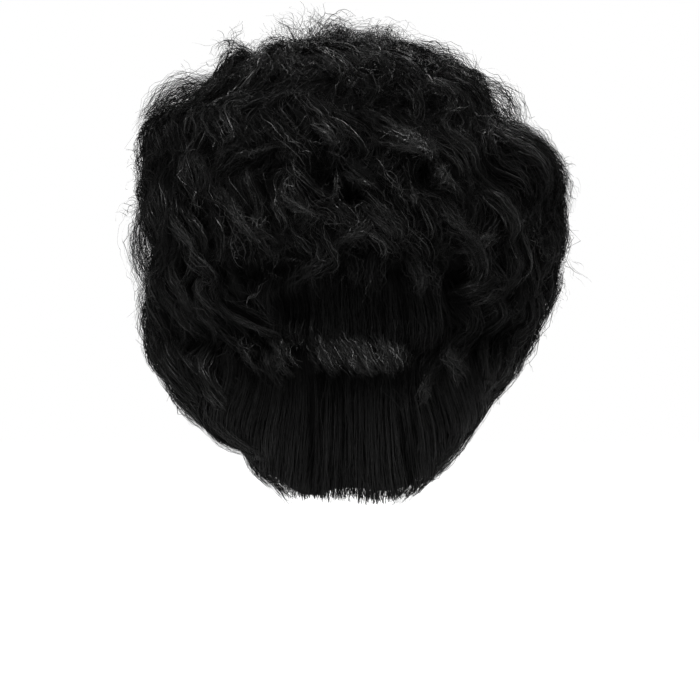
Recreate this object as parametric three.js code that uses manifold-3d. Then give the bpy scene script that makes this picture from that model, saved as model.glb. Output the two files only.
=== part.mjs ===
// Beehive afro wig: a head-shaped cap and five sections of hair that are sewn to it.
// Millimetres, +Z up, the face looks along -Y and the wearer's left is +X.
// The origin is the inside of the cap where it rests on the crown of the head.
// Azimuths are degrees about Z from the middle of the back, positive towards the wearer's left.
import * as THREE from "three";
import { mergeVertices } from "three/addons/utils/BufferGeometryUtils.js";
import Module from "manifold-3d";

const wasm = await Module();
wasm.setup();

// The head that the cap fits, as half axes of two half ellipsoids that meet at the ears.
const HEAD_HALF_WIDTH = 77;
const HEAD_HALF_LENGTH = 97;
const HEAD_ABOVE_EARS = 105;
const HEAD_BELOW_EARS = 120;
const EAR_HEIGHT = -HEAD_ABOVE_EARS;

// The cap's wall, the gap between pieces, and how far past a parting a lock is cut back.
const CAP_WALL = 1.6;
const GAP = 0.5;
const LOCK_CLEARANCE = 0.15;
const CAP_SIDES = 32;
const CAP_STEPS = 7;
// How far the flat faces of the head cut inside its curve, across and down, at most.
const FACE_SAG =
  HEAD_HALF_LENGTH * (1 - Math.cos(Math.PI / CAP_SIDES)) +
  HEAD_ABOVE_EARS * (1 - Math.cos(Math.PI / (4 * CAP_STEPS)));

// Lower edge of the cap: height by azimuth, the same on both sides.
const CAP_RIM = [
  { azimuth: 0, height: -170 },
  { azimuth: 40, height: -158 },
  { azimuth: 72, height: -112 },
  { azimuth: 98, height: -104 },
  { azimuth: 122, height: -72 },
  { azimuth: 180, height: -52 },
];

// Outer reach of the hair from the top of the beehive to the nape, a row for each level.
// Left and right are half-widths, middle is where the row is widest, back and front are its ends along Y.
const HAIR_LEVELS = [
  { height: 193, middle: 12, left: 14, right: 14, back: 26, front: -2 },
  { height: 183, middle: 12, left: 60, right: 50, back: 70, front: -46 },
  { height: 163, middle: 12, left: 106, right: 98, back: 112, front: -88 },
  { height: 130, middle: 12, left: 157, right: 125, back: 144, front: -119 },
  { height: 92, middle: 12, left: 168, right: 160, back: 161, front: -138 },
  { height: 46, middle: 12, left: 170, right: 175, back: 168, front: -143 },
  { height: 2, middle: 12, left: 174, right: 172, back: 161, front: -132 },
  { height: -42, middle: 12, left: 168, right: 160, back: 137, front: -108 },
  { height: -84, middle: 16, left: 155, right: 137, back: 150, front: -62 },
  { height: -120, middle: 24, left: 128, right: 114, back: 131, front: -28 },
  { height: -152, middle: 32, left: 94, right: 83, back: 110, front: 2 },
  { height: -176, middle: 42, left: 67, right: 61, back: 93, front: 18 },
  { height: -190, middle: 52, left: 46, right: 43, back: 82, front: 34 },
];
const HAIR_SIDES = 24;
// Point that the backing shrinks towards, and how far it lies under the crests of the locks.
const HAIR_CENTRE = new THREE.Vector3(0, 12, -30);
const BACKING_DEPTH = 9;

// Where the sections part: the front by a plane across Y, the crown from the rest by height,
// and the nape from the sides by walls that fan out from a line inside the head.
const FRONT_PARTING = -58;
const CROWN_PARTING = 4;
const NAPE_FAN_DEPTH = 30;
const NAPE_FAN_ANGLE = 36;
const REGION_REACH = 400;

// Locks, a row for each tier: how many, over which azimuths, from which level to which and in how many steps.
// Width and depth are half sizes. Sway is the swing of the waves, drift the turn over the whole length
// and tip the depth of the end under the outer reach.
const LOCK_TIERS = [
  { section: "crown_hair", count: 5, first: -170, last: 118, from: 0.1, to: 2.4, steps: 5,
    width: 25, depth: 14, sway: 16, waves: 0.9, drift: 30, tip: 8 },
  { section: "crown_hair", count: 8, first: -158, last: 158, from: 1.6, to: 4.1, steps: 6,
    width: 24, depth: 14, sway: 18, waves: 1.0, drift: -10, tip: 5 },
  { section: "crown_hair", count: 8, first: -122, last: 122, from: 3.2, to: 5.7, steps: 6,
    width: 23, depth: 14, sway: 16, waves: 1.0, drift: 6, tip: 4 },
  { section: "crown_hair", count: 2, first: -12, last: 12, from: 4.6, to: 6.2, steps: 5,
    width: 22, depth: 13, sway: 9, waves: 0.8, drift: 3, tip: 3 },
  { section: "crown_hair", count: 4, first: 36, last: 118, from: 4.7, to: 7.2, steps: 6,
    width: 22, depth: 14, sway: 15, waves: 0.9, drift: -6, tip: 2 },
  { section: "crown_hair", count: 4, first: -36, last: -118, from: 4.7, to: 7.0, steps: 6,
    width: 22, depth: 14, sway: 15, waves: 0.9, drift: 6, tip: 2 },
  { section: "front_hair", count: 6, first: 140, last: 220, from: 7.4, to: 3.6, steps: 4,
    width: 19, depth: 12, sway: 8, waves: 0.8, drift: 0, tip: 10 },
  { section: "side_hair_left", count: 4, first: 42, last: 116, from: 6.1, to: 8.7, steps: 6,
    width: 20, depth: 13, sway: 14, waves: 1.1, drift: -8, tip: 4 },
  { section: "side_hair_left", count: 3, first: 46, last: 84, from: 8.0, to: 11.2, steps: 3,
    width: 14, depth: 10, sway: 4, waves: 0.7, drift: -4, tip: 6 },
  { section: "side_hair_right", count: 4, first: -42, last: -116, from: 6.1, to: 8.7, steps: 6,
    width: 20, depth: 13, sway: 14, waves: 1.1, drift: 8, tip: 4 },
  { section: "side_hair_right", count: 3, first: -46, last: -84, from: 8.0, to: 11.2, steps: 3,
    width: 14, depth: 10, sway: 4, waves: 0.7, drift: 4, tip: 6 },
  { section: "nape_hair", count: 6, first: -30, last: 30, from: 6.1, to: 12, steps: 6,
    width: 14, depth: 10, sway: 2, waves: 0.6, drift: 0, tip: 5 },
];
// Corners of a lock's section round its middle: most of them lie on the side that shows.
const LOCK_CORNERS = [0, 55, 125, 180, 270];
// Turn of the wave from one lock to the next, in radians.
const LOCK_TURN = 2.4;
// Shares of a lock's length: bluntness of its ends, end of the sunk root and start of the tucked tip.
const LOCK_END = 0.06;
const LOCK_ROOT = 0.3;
const LOCK_TIP = 0.7;

// Black fibre with a soft sheen, and the matt net of the cap.
const HAIR_COLOUR = 0x101010;
const HAIR_ROUGHNESS = 0.5;
const CAP_COLOUR = 0x1a1a1b;
const CAP_ROUGHNESS = 0.8;

const radians = THREE.MathUtils.degToRad;

// Smooth curve through evenly keyed values: a cubic through each pair with slopes from their neighbours.
function cubic(before, start, end, after, share) {
  const slopeIn = (end - before) / 2;
  const slopeOut = (after - start) / 2;
  const bend = 2 * (start - end) + slopeIn + slopeOut;
  const lean = 3 * (end - start) - 2 * slopeIn - slopeOut;
  return ((bend * share + lean) * share + slopeIn) * share + start;
}

// Value of one column of the levels at a level that need not be whole.
function levelValue(column, level) {
  const last = HAIR_LEVELS.length - 1;
  const index = Math.min(Math.floor(level), last - 1);
  const row = (offset) => HAIR_LEVELS[THREE.MathUtils.clamp(index + offset, 0, last)][column];
  return cubic(row(-1), row(0), row(1), row(2), level - index);
}

// Height of the cap's edge at an azimuth, eased from one row of the table to the next.
function rimHeight(azimuth) {
  const angle = Math.abs(azimuth);
  const index = Math.max(1, CAP_RIM.findIndex((row) => row.azimuth >= angle));
  const start = CAP_RIM[index - 1];
  const end = CAP_RIM[index];
  const share = THREE.MathUtils.smoothstep(angle, start.azimuth, end.azimuth);
  return THREE.MathUtils.lerp(start.height, end.height, share);
}

// Point on the head, grown outwards, by azimuth and by the angle from the top.
function headPoint(azimuth, polar, grow) {
  const upright = Math.cos(polar) > 0 ? HEAD_ABOVE_EARS : HEAD_BELOW_EARS;
  const spread = Math.sin(polar);
  return new THREE.Vector3(
    (HEAD_HALF_WIDTH + grow) * spread * Math.sin(azimuth),
    (HEAD_HALF_LENGTH + grow) * spread * Math.cos(azimuth),
    EAR_HEIGHT + (upright + grow) * Math.cos(polar),
  );
}

// Point on the outer reach of the hair: a quarter ellipse in each quadrant of a level.
function hairPoint(azimuth, level, depth) {
  const sideways = Math.sin(azimuth);
  const backwards = Math.cos(azimuth);
  const width = levelValue(sideways > 0 ? "left" : "right", level);
  const middle = levelValue("middle", level);
  const reach = Math.abs(levelValue(backwards > 0 ? "back" : "front", level) - middle);
  const point = new THREE.Vector3(
    width * sideways,
    middle + reach * backwards,
    levelValue("height", level),
  );
  const inwards = HAIR_CENTRE.clone().sub(point).setLength(depth);
  return point.add(inwards);
}

// Middle of a ring of points.
function centreOf(ring) {
  return ring.reduce((sum, point) => sum.add(point), new THREE.Vector3()).divideScalar(ring.length);
}

// Closed surface over a row of rings of equal counts, each end closed by a fan to a point.
function skin(rings, startPoint = centreOf(rings[0]), endPoint = centreOf(rings.at(-1))) {
  const count = rings[0].length;
  const points = [...rings.flat(), startPoint, endPoint];
  const start = points.length - 2;
  const end = points.length - 1;
  const lastRing = (rings.length - 1) * count;
  const triangles = [];
  for (let side = 0; side < count; side += 1) {
    const next = (side + 1) % count;
    triangles.push(start, side, next);
    triangles.push(end, lastRing + next, lastRing + side);
    for (let ring = 0; ring < lastRing; ring += count) {
      triangles.push(ring + side, ring + count + side, ring + count + next);
      triangles.push(ring + side, ring + count + next, ring + next);
    }
  }
  const geometry = new THREE.BufferGeometry().setFromPoints(points);
  geometry.setIndex(triangles);
  return geometry;
}

// A closed geometry as a solid that can be joined and cut.
function solid(geometry) {
  const bare = geometry.clone();
  bare.deleteAttribute("normal");
  bare.deleteAttribute("uv");
  const merged = mergeVertices(bare);
  const mesh = new wasm.Mesh({
    numProp: 3,
    vertProperties: new Float32Array(merged.attributes.position.array),
    triVerts: new Uint32Array(merged.index.array),
  });
  return new wasm.Manifold(mesh);
}

// The largest body of a solid, without the crumbs that a cut can leave.
function largestBody(shape) {
  const bodies = shape.decompose();
  return bodies.reduce((best, body) => (body.volume() > best.volume() ? body : best));
}

// Evenly turned azimuths of a closed ring.
function ringAzimuths(count) {
  return Array.from({ length: count }, (_, side) => (-2 * Math.PI * side) / count);
}

// Head that the hair keeps clear of: the cap's outside and the gap, as a whole ellipsoid.
function headForm() {
  const grow = CAP_WALL + GAP + FACE_SAG;
  const rings = [];
  for (let step = 1; step < 2 * CAP_STEPS; step += 1) {
    const polar = (Math.PI * step) / (2 * CAP_STEPS);
    rings.push(ringAzimuths(CAP_SIDES).map((azimuth) => headPoint(azimuth, polar, grow)));
  }
  return solid(skin(rings, headPoint(0, 0, grow), headPoint(0, Math.PI, grow)));
}

// Cap: outside down to the edge, then inside back up to the top.
function capWall() {
  const ring = (share, grow) =>
    ringAzimuths(CAP_SIDES).map((azimuth) => {
      const turned = THREE.MathUtils.euclideanModulo(azimuth + Math.PI, 2 * Math.PI) - Math.PI;
      const drop = rimHeight(THREE.MathUtils.radToDeg(turned)) - EAR_HEIGHT;
      const upright = drop > 0 ? HEAD_ABOVE_EARS : HEAD_BELOW_EARS;
      return headPoint(azimuth, Math.acos(drop / upright) * share, grow);
    });
  const shares = Array.from({ length: CAP_STEPS }, (_, step) => (step + 1) / CAP_STEPS);
  const outside = shares.map((share) => ring(share, CAP_WALL));
  const inside = shares.map((share) => ring(share, 0)).reverse();
  return skin([...outside, ...inside], headPoint(0, 0, CAP_WALL), headPoint(0, 0, 0));
}

// Backing of all the hair, at a depth under the crests of the locks.
function backing(depth) {
  const ring = (level) => ringAzimuths(HAIR_SIDES).map((azimuth) => hairPoint(azimuth, level, depth));
  return solid(skin(HAIR_LEVELS.map((_, level) => ring(level))));
}

// One lock, grown on all sides: a flat oval section carried along a waving path on the outer reach.
function lock(tier, azimuth, turn, grow) {
  const centres = [];
  const sizes = [];
  for (let step = 0; step <= tier.steps; step += 1) {
    const along = step / tier.steps;
    const level = THREE.MathUtils.lerp(tier.from, tier.to, along);
    const plain = hairPoint(radians(azimuth), level, 0);
    const radius = Math.max(Math.hypot(plain.x, plain.y - HAIR_CENTRE.y), 2 * tier.width);
    const swing = (tier.sway / radius) * Math.sin(2 * Math.PI * tier.waves * along + turn);
    const angle = radians(azimuth + tier.drift * along) + swing;
    const fullness = Math.sqrt(Math.sin(Math.PI * THREE.MathUtils.lerp(LOCK_END, 1 - LOCK_END, along)));
    const sunk = BACKING_DEPTH * (1 - THREE.MathUtils.smoothstep(along, 0, LOCK_ROOT));
    const tucked = tier.tip * THREE.MathUtils.smoothstep(along, LOCK_TIP, 1);
    centres.push(hairPoint(angle, level, tier.depth * fullness + sunk + tucked));
    sizes.push(fullness);
  }
  const rings = centres.map((centre, step) => {
    const ahead = centres[Math.min(step + 1, tier.steps)];
    const behind = centres[Math.max(step - 1, 0)];
    const tangent = ahead.clone().sub(behind).normalize();
    const outward = centre.clone().sub(HAIR_CENTRE).normalize();
    const across = tangent.clone().cross(outward).normalize();
    const lift = across.clone().cross(tangent);
    return LOCK_CORNERS.map((corner) => {
      const angle = radians(corner);
      return centre.clone()
        .addScaledVector(across, (tier.width * sizes[step] + grow) * Math.cos(angle))
        .addScaledVector(lift, (tier.depth * sizes[step] + grow) * Math.sin(angle));
    });
  });
  return solid(skin(rings));
}

// All the locks of a section, each waving out of step with the next.
function sectionLocks(section, grow) {
  const locks = [];
  for (const tier of LOCK_TIERS.filter((row) => row.section === section)) {
    for (let index = 0; index < tier.count; index += 1) {
      const azimuth = THREE.MathUtils.lerp(tier.first, tier.last, index / (tier.count - 1));
      locks.push(lock(tier, azimuth, index * LOCK_TURN, grow));
    }
  }
  return locks.reduce((joined, next) => joined.add(next));
}

// Box between two corners.
function block(low, high) {
  const size = high.clone().sub(low);
  const geometry = new THREE.BoxGeometry(size.x, size.y, size.z);
  const middle = low.clone().add(high).multiplyScalar(0.5);
  return solid(geometry.translate(middle.x, middle.y, middle.z));
}

// Wedge from a height down that opens to the back, grown by a margin on its side faces.
function napeWedge(margin, top) {
  const angle = radians(NAPE_FAN_ANGLE);
  const ring = (height, middle) => {
    const point = middle - NAPE_FAN_DEPTH - margin / Math.sin(angle);
    const spread = REGION_REACH * Math.tan(angle);
    return [
      new THREE.Vector3(0, point, height),
      new THREE.Vector3(spread, point + REGION_REACH, height),
      new THREE.Vector3(-spread, point + REGION_REACH, height),
    ];
  };
  const lower = HAIR_LEVELS.filter((row) => row.height < CROWN_PARTING);
  const rings = [
    ring(top, lower[0].middle),
    ...lower.map((row) => ring(row.height, row.middle)),
    ring(-REGION_REACH, lower.at(-1).middle),
  ];
  return solid(skin(rings));
}

// Space of each section's backing, grown by a margin on the faces where sections part.
function region(section, margin) {
  const far = REGION_REACH;
  const corner = (x, y, z) => new THREE.Vector3(x, y, z);
  const ahead = FRONT_PARTING - margin;
  const below = CROWN_PARTING + margin;
  if (section === "front_hair") {
    return block(corner(-far, -far, -far), corner(far, FRONT_PARTING + margin, far));
  }
  if (section === "crown_hair") {
    return block(corner(-far, ahead, CROWN_PARTING - margin), corner(far, far, far));
  }
  if (section === "nape_hair") {
    return napeWedge(margin, below);
  }
  const isLeft = section === "side_hair_left";
  const side = block(
    corner(isLeft ? -margin : -far, ahead, -far),
    corner(isLeft ? far : margin, far, below),
  );
  return side.subtract(napeWedge(-margin, REGION_REACH));
}

const SECTIONS = ["crown_hair", "front_hair", "side_hair_left", "side_hair_right", "nape_hair"];

// Each section is its backing and its locks. The locks are cut clear of the backing of the others
// and of the locks of the sections that lie over them, and the whole is cut clear of the head.
function hairSections() {
  const head = headForm();
  const wholeBacking = backing(BACKING_DEPTH);
  const clearBacking = backing(BACKING_DEPTH - GAP);
  const made = new Map();
  let over = null;
  for (const section of SECTIONS) {
    let locks = sectionLocks(section, 0);
    for (const other of SECTIONS.filter((name) => name !== section)) {
      locks = locks.subtract(clearBacking.intersect(region(other, LOCK_CLEARANCE)));
    }
    locks = over ? locks.subtract(over) : locks;
    const ownBacking = wholeBacking.intersect(region(section, -GAP / 2));
    made.set(section, largestBody(ownBacking.add(locks).subtract(head)));
    const cover = sectionLocks(section, GAP);
    over = over ? over.add(cover) : cover;
  }
  return made;
}

// A joined solid back as a geometry with flat faces.
function geometryOf(shape) {
  const mesh = shape.getMesh();
  const geometry = new THREE.BufferGeometry();
  geometry.setAttribute("position", new THREE.BufferAttribute(mesh.vertProperties, 3));
  geometry.setIndex(new THREE.BufferAttribute(mesh.triVerts, 1));
  geometry.computeVertexNormals();
  return geometry;
}

// One piece of the wig with its own material.
function named(name, geometry, colour, roughness) {
  const material = new THREE.MeshStandardMaterial({ color: colour, roughness, metalness: 0 });
  const mesh = new THREE.Mesh(geometry, material);
  mesh.name = name;
  return mesh;
}

const wig = new THREE.Group();
wig.name = "beehive_afro_wig";
wig.add(named("wig_cap", capWall(), CAP_COLOUR, CAP_ROUGHNESS));
for (const [section, shape] of hairSections()) {
  wig.add(named(section, geometryOf(shape), HAIR_COLOUR, HAIR_ROUGHNESS));
}

export default wig;
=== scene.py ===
"""Looks of the beehive afro wig: a net cap under hair in waved locks, combed strips and loose frizz."""

import math

import bpy
import numpy as np
from bpy.props import FloatProperty, FloatVectorProperty, PointerProperty
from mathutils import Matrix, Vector


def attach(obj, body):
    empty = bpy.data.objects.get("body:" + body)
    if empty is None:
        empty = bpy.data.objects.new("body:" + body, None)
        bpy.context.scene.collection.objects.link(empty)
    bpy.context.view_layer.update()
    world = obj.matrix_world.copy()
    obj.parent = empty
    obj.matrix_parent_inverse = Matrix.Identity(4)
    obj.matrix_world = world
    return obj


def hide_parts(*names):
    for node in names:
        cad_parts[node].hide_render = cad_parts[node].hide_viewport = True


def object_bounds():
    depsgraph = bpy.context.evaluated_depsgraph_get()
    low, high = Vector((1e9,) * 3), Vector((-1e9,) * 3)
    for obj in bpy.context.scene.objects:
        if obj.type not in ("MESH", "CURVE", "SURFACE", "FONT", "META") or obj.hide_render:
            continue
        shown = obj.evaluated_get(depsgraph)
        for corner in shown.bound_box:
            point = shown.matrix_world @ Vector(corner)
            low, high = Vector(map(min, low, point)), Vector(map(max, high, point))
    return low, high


bl_info = {
    "name": "Beehive afro wig",
    "version": (1, 0, 0),
    "blender": (4, 5, 0),
    "location": "View3D > Sidebar > Wig",
    "description": "Builds the cap, the hair and the stage of a beehive afro wig",
    "category": "Object",
}

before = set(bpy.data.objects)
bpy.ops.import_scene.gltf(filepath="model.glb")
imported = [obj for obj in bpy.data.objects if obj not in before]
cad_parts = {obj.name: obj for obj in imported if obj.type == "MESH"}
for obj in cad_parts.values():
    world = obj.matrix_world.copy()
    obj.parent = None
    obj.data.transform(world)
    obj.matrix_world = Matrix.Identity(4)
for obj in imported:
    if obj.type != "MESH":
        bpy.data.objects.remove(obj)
CAD_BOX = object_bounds()

MM = 0.001
UV_NAME = "OFBake"

# Outer reach of the hair from the top of the beehive to the nape, as in the solids. Left and right are
# half-widths, middle is where the row is widest, back and front are its ends along Y.
LEVEL_COLUMNS = ("height", "middle", "left", "right", "back", "front")
HAIR_LEVELS = MM * np.array(
    [
        (193, 12, 14, 14, 26, -2),
        (183, 12, 60, 50, 70, -46),
        (163, 12, 106, 98, 112, -88),
        (130, 12, 157, 125, 144, -119),
        (92, 12, 168, 160, 161, -138),
        (46, 12, 170, 175, 168, -143),
        (2, 12, 174, 172, 161, -132),
        (-42, 12, 168, 160, 137, -108),
        (-84, 16, 155, 137, 150, -62),
        (-120, 24, 128, 114, 131, -28),
        (-152, 32, 94, 83, 110, 2),
        (-176, 42, 67, 61, 93, 18),
        (-190, 52, 46, 43, 82, 34),
    ]
)
LAST_LEVEL = len(HAIR_LEVELS) - 1
# Level from which the outline is read as the lower one, the hairline being looked for from one above it,
# and the point that hair is pressed towards.
LOWER_LEVEL = 6
HAIR_CENTRE = MM * np.array((0, 12, -30))
# Gap of the locks over the cap at the hairline, and how many levels their tips may pass it.
HAIRLINE_GAP = 5 * MM
OVERHANG = 0.2
# Depth of the hollows between the lumps of the crown, of the cores under the strands, and of the roots of
# locks that are placed one by one.
LUMP_DEPTH = 8 * MM
CORE_DEPTH = 3 * MM
WAVE_ROOT = 4 * MM
RECESS_ROOT = 14 * MM
# Roll in and out of a waved lock as a share of its sway, the roll that placed locks have at least, and
# the roll at which the painted shade where a wave rolls inwards is full.
ROLL_SHARE = 0.45
LEAST_ROLL = 2 * MM
FULL_ROLL = 4 * MM
# Room for loose hair round the box of the solids: a share of each side and a margin.
ROOM_SHARE = 0.03
ROOM_MARGIN = 8 * MM
# How many levels are tried to find the hairline and a place seen from the back, and the farthest turn to
# the side there, as a sine.
HAIRLINE_TRIES = 281
PLACE_TRIES = 481
FARTHEST_SINE = 0.985
# Hollows and swells of the outline: where they lie, how far they spread in degrees and levels, depth in
# mm.
OUTLINE_COLUMNS = ("azimuth", "level", "turn_spread", "level_spread", "depth")
OUTLINE_HOLLOWS = [
    (0, 0.2, 400, 0.9, 8),
    (0, 1.6, 400, 1.6, 5),
    (90, 1.15, 30, 0.16, -4),
    (90, 1.45, 30, 0.14, 12),
    (90, 1.75, 26, 0.22, -11),
    (86, 2.75, 34, 0.5, 17),
    (90, 5.75, 24, 0.55, 14),
    (90, 6.7, 24, 0.4, 4),
    (90, 10.1, 50, 0.4, 9),
    (90, 11.2, 60, 0.7, 5),
    (-90, 2.9, 26, 0.5, 6),
    (-90, 4.7, 26, 0.7, -5),
    (-90, 7.6, 30, 0.5, 3),
    (-90, 8.6, 40, 0.6, 6),
    (0, 6.9, 40, 0.6, -7),
    (31, 8.0, 15, 0.6, 11),
    (-37, 8.0, 14, 0.6, 10),
]
# Dark pockets between the locks at the back: mm left and up as seen from there, half width and half
# height, depth, and how far painted shade darkens the strands in them, on top of the real hollow. Rows
# without depth are painted shade alone: the recess under the crown and the shadow under the ledge. They
# fade out over some way behind the widest hair.
POCKET_FADE = 40 * MM
POCKET_COLUMNS = ("left", "up", "half_width", "half_height", "depth", "shade")
BACK_POCKETS = [
    (26, 74, 13, 21, 15, 0.95),
    (-1, 65, 10, 9, 12, 0.92),
    (68, 68, 9, 11, 8, 0.85),
    (66, 88, 22, 6, 3, 0.5),
    (-60, 74, 13, 13, 8, 0.75),
    (-112, 80, 18, 18, 7, 0.75),
    (-66, 134, 8, 12, 6, 0.75),
    (86, -4, 34, 9, 6, 0.65),
    (-84, -22, 9, 32, 10, 0.85),
    (46, -32, 17, 13, 9, 0.92),
    (-8, -24, 60, 22, 0, 0.8),
    (70, -64, 9, 6, 5, 0.85),
    (31, -130, 3, 50, 6, 0.85),
    (-50, -130, 4, 40, 3, 0.5),
    (-10, -88, 50, 6, 0, 0.6),
    (118, -58, 9, 16, 6, 0.75),
    (-110, -56, 18, 20, 4, 0.6),
]

# Hollow of the cap, as half axes of two half ellipsoids that meet at the height where it is widest.
HOLLOW_HALF_WIDTH = 77 * MM
HOLLOW_HALF_LENGTH = 97 * MM
HOLLOW_ABOVE = 105 * MM
HOLLOW_BELOW = 120 * MM
WIDEST_HEIGHT = -HOLLOW_ABOVE

# Lower edge of the cap: height by azimuth from the middle of the back, the same on both sides.
CAP_RIM = np.array([(0, -170), (40, -158), (72, -112), (98, -104), (122, -72), (180, -52)])
CAP_ROWS = 25
CAP_COLUMNS = 73
CAP_TOP_SHARE = 0.004

# Places of the camera: the plane of the widest hair, its distance from there, the height it looks at, the
# width it sees there, its degrees above level and the width of its sensor in mm.
VIEW_PLANE = 12 * MM
VIEW_DISTANCE = 1.9
VIEW_HEIGHT = -70 * MM
VIEW_WIDTH = 560 * MM
VIEW_ELEVATION = 3
SENSOR_WIDTH = 36

# Soft lamps: where they stand, what they point at, how wide they are and their power in watts.
LAMP_COLUMNS = ("name", "place", "target", "width", "power")
LAMPS = [
    ("key", (0.2, 1.2, 1.5), (0, 0.05, 0.0), 0.7, 30),
    ("fill", (-0.2, 2.3, -0.25), (0, 0.05, -0.1), 0.6, 5),
    ("front", (-0.4, -1.3, 1.3), (0, 0, 0), 0.9, 22),
    ("left", (1.7, -0.3, 0.6), (0, 0, 0), 0.8, 4),
    ("right", (-1.7, -0.3, 0.6), (0, 0, 0), 0.8, 4),
]
# Half side of the floor, and how bright floor and sky are to the camera beyond what they give as light.
FLOOR_HALF = 3.0
FLOOR_GLOW = 0.08
FLOOR_SHOWN = 0.92
SKY_GLOW = 0.06
SKY_SHOWN = 0.94

# Mass under the locks of each section: azimuths, first and last level, depth in mm under the outer reach
# over most of it and at its lower edge.
MASS_COLUMNS = ("node", "first", "last", "top", "bottom", "depth", "edge")
HAIR_MASSES = [
    ("crown_hair", -180, 180, 0.02, 6.1, 12, 24),
    ("front_hair", 112, 248, 3.0, 12, 11, 11),
    ("side_hair_left", 28, 124, 5.4, 12, 13, 10),
    ("side_hair_right", -124, -28, 5.4, 12, 13, 10),
    ("nape_hair", -46, 46, 5.0, 12, 12, 10),
]
MASS_GRID_ROWS = 29
MASS_GRID_COLUMNS = 49
# Gap of a mass over the cap at its hairline, and its least thickness.
MASS_EDGE_GAP = 1 * MM
MASS_LEAST = 0.6 * MM

# Rows of locks laid by rule: how many over which azimuths, from which level to which, half width and half
# depth, swing, levels to a wave, turn over the length in degrees, depth of root and tip, strands in each,
# and how far a lock thins to its tip. The front locks run up from the hairline.
TIER_COLUMNS = (
    "count", "first", "last", "start", "end", "width", "depth",
    "sway", "wave", "drift", "root", "tip", "strands", "thinning",
)
CROWN_TOP = [
    (14, -180, 180, 0.10, 1.9, 10, 8, 9, 1.6, 40, 3, 0, 57, 0.6),
    (28, -180, 180, 0.95, 3.1, 10, 8, 9, 1.5, -14, 5, 0, 57, 0.6),
]
CROWN_UPPER = [
    (32, -128, 128, 2.0, 4.2, 10, 8, 10, 1.5, 8, 5, 0, 47, 0.6),
    (36, -124, 124, 3.0, 5.1, 10, 8, 10, 1.5, -6, 5, 0, 47, 0.6),
]
CROWN_LOWER = [
    (38, -126, 126, 3.9, 6.0, 10, 8, 10, 1.5, 5, 5, 0, 41, 0.6),
    (17, 32, 126, 4.8, 7.2, 10, 8, 10, 1.5, -5, 5, 0, 41, 0.6),
    (17, -126, -32, 4.8, 7.0, 10, 8, 10, 1.5, 5, 5, 0, 41, 0.6),
    (14, -34, 34, 4.5, 6.1, 11, 8, 8, 1.3, 2, 5, 5, 41, 0.15),
]
FRONT_LOCKS = [
    (24, 104, 256, 12, 6.0, 11, 7, 5, 2.6, 0, 4, 1, 44, 0.5),
    (18, 112, 248, 6.9, 4.6, 12, 8, 8, 1.8, 0, 5, 1, 44, 0.6),
    (16, 114, 246, 5.4, 3.2, 12, 8, 9, 1.6, 0, 6, 1, 44, 0.6),
    (13, 118, 242, 4.1, 1.9, 12, 8, 9, 1.6, 0, 6, 3, 44, 0.6),
]
SIDE_LOCKS = [
    (3, 20, 44, 6.1, 8.4, 12, 8, 9, 1.6, -3, 5, 3, 66, 0.6),
    (10, 40, 130, 6.0, 8.5, 12, 9, 10, 1.6, -6, 5, 3, 66, 0.6),
    (8, 56, 130, 7.3, 9.9, 11, 8, 8, 1.8, -6, 5, 1, 66, 0.5),
    (7, 60, 124, 8.6, 11.6, 11, 7, 5, 2.2, -4, 5, 1, 66, 0.4),
]
# Tone of the tiers from 0 to 1, before chance. The crown's tiers get darker from the top down: the
# lighter top is a painted highlight where the light from above falls.
TOP_TONE = 0.48
UPPER_TONE = 0.37
LOWER_TONE = 0.3
FRONT_TONE = 0.3
SIDE_TONE = 0.25
# Chance in a tier: shift as a share of the space between neighbours, slip in levels and spread of the
# wave's phase in radians, then least and most of size, drift, sway, roll and tone as factors and of the
# tip's depth in mm.
SHIFT_CHANCE = 0.33
SLIP_CHANCE = 0.22
PHASE_CHANCE = 0.75
SIZE_RANGE = (0.8, 1.25)
DRIFT_RANGE = (0.3, 1.7)
SWAY_RANGE = (0.7, 1.3)
ROLL_RANGE = (0.5, 1.3)
TONE_RANGE = (0.3, 1.6)
TIP_RANGE = (-6, 3)

# Rows of combed strips at the back: how many from which place to which, mm left as seen from there, where
# they start and end in height, how far they lean to the left on the way, half width and half depth, depth
# of the tip, tone from 0 to 1, strands in each. A strip is cut where it meets the outline. The first
# table lies in the recess under the crown, the second covers the nape and the last is the short ledge of
# turned-up ends that catches the light.
COMB_COLUMNS = (
    "count", "left", "right", "up", "end_up", "lean",
    "width", "depth", "tip", "tone", "strands",
)
# Painted shade: the recess strips have the darkest tone, for the shade under the crown.
RECESS_COMBS = [
    (24, 70, -84, 16, -62, -4, 10, 4, 3, 0.1, 46),
]
LOWER_COMBS = [
    (34, 116, -106, -62, -190, 0, 12, 5, 1, 0.19, 64),
    (18, 76, -70, -108, -190, 0, 12, 5, 1, 0.16, 50),
]
# Painted sheen: the middle rows of the ledge have the lightest tone, on top of the light that the ledge's
# slope catches.
LEDGE_COMBS = [
    (4, 39, 21, -50, -79, -19, 8, 6, -3, 0.3, 70),
    (5, 18, -5, -48, -80, -21, 8, 6, -3, 0.52, 84),
    (3, -14, -24, -49, -80, -14, 7, 6, -3, 0.48, 80),
    (3, -36, -45, -51, -78, 3, 7, 6, -3, 0.26, 60),
]
# Chance in a row of strips: shift as a share of the space between neighbours, least and most in mm of the
# start, the end and the bow, and of the tone as a factor. Strips end some mm above the outline and bow in
# half a wave.
COMB_SHIFT = 0.45
COMB_START = (-4, 4)
COMB_END = (-4, 3)
COMB_BOW = (-2, 2)
COMB_TONE = (0.8, 1.2)
COMB_EDGE_GAP = 3
HALF_WAVE = 0.5

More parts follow.
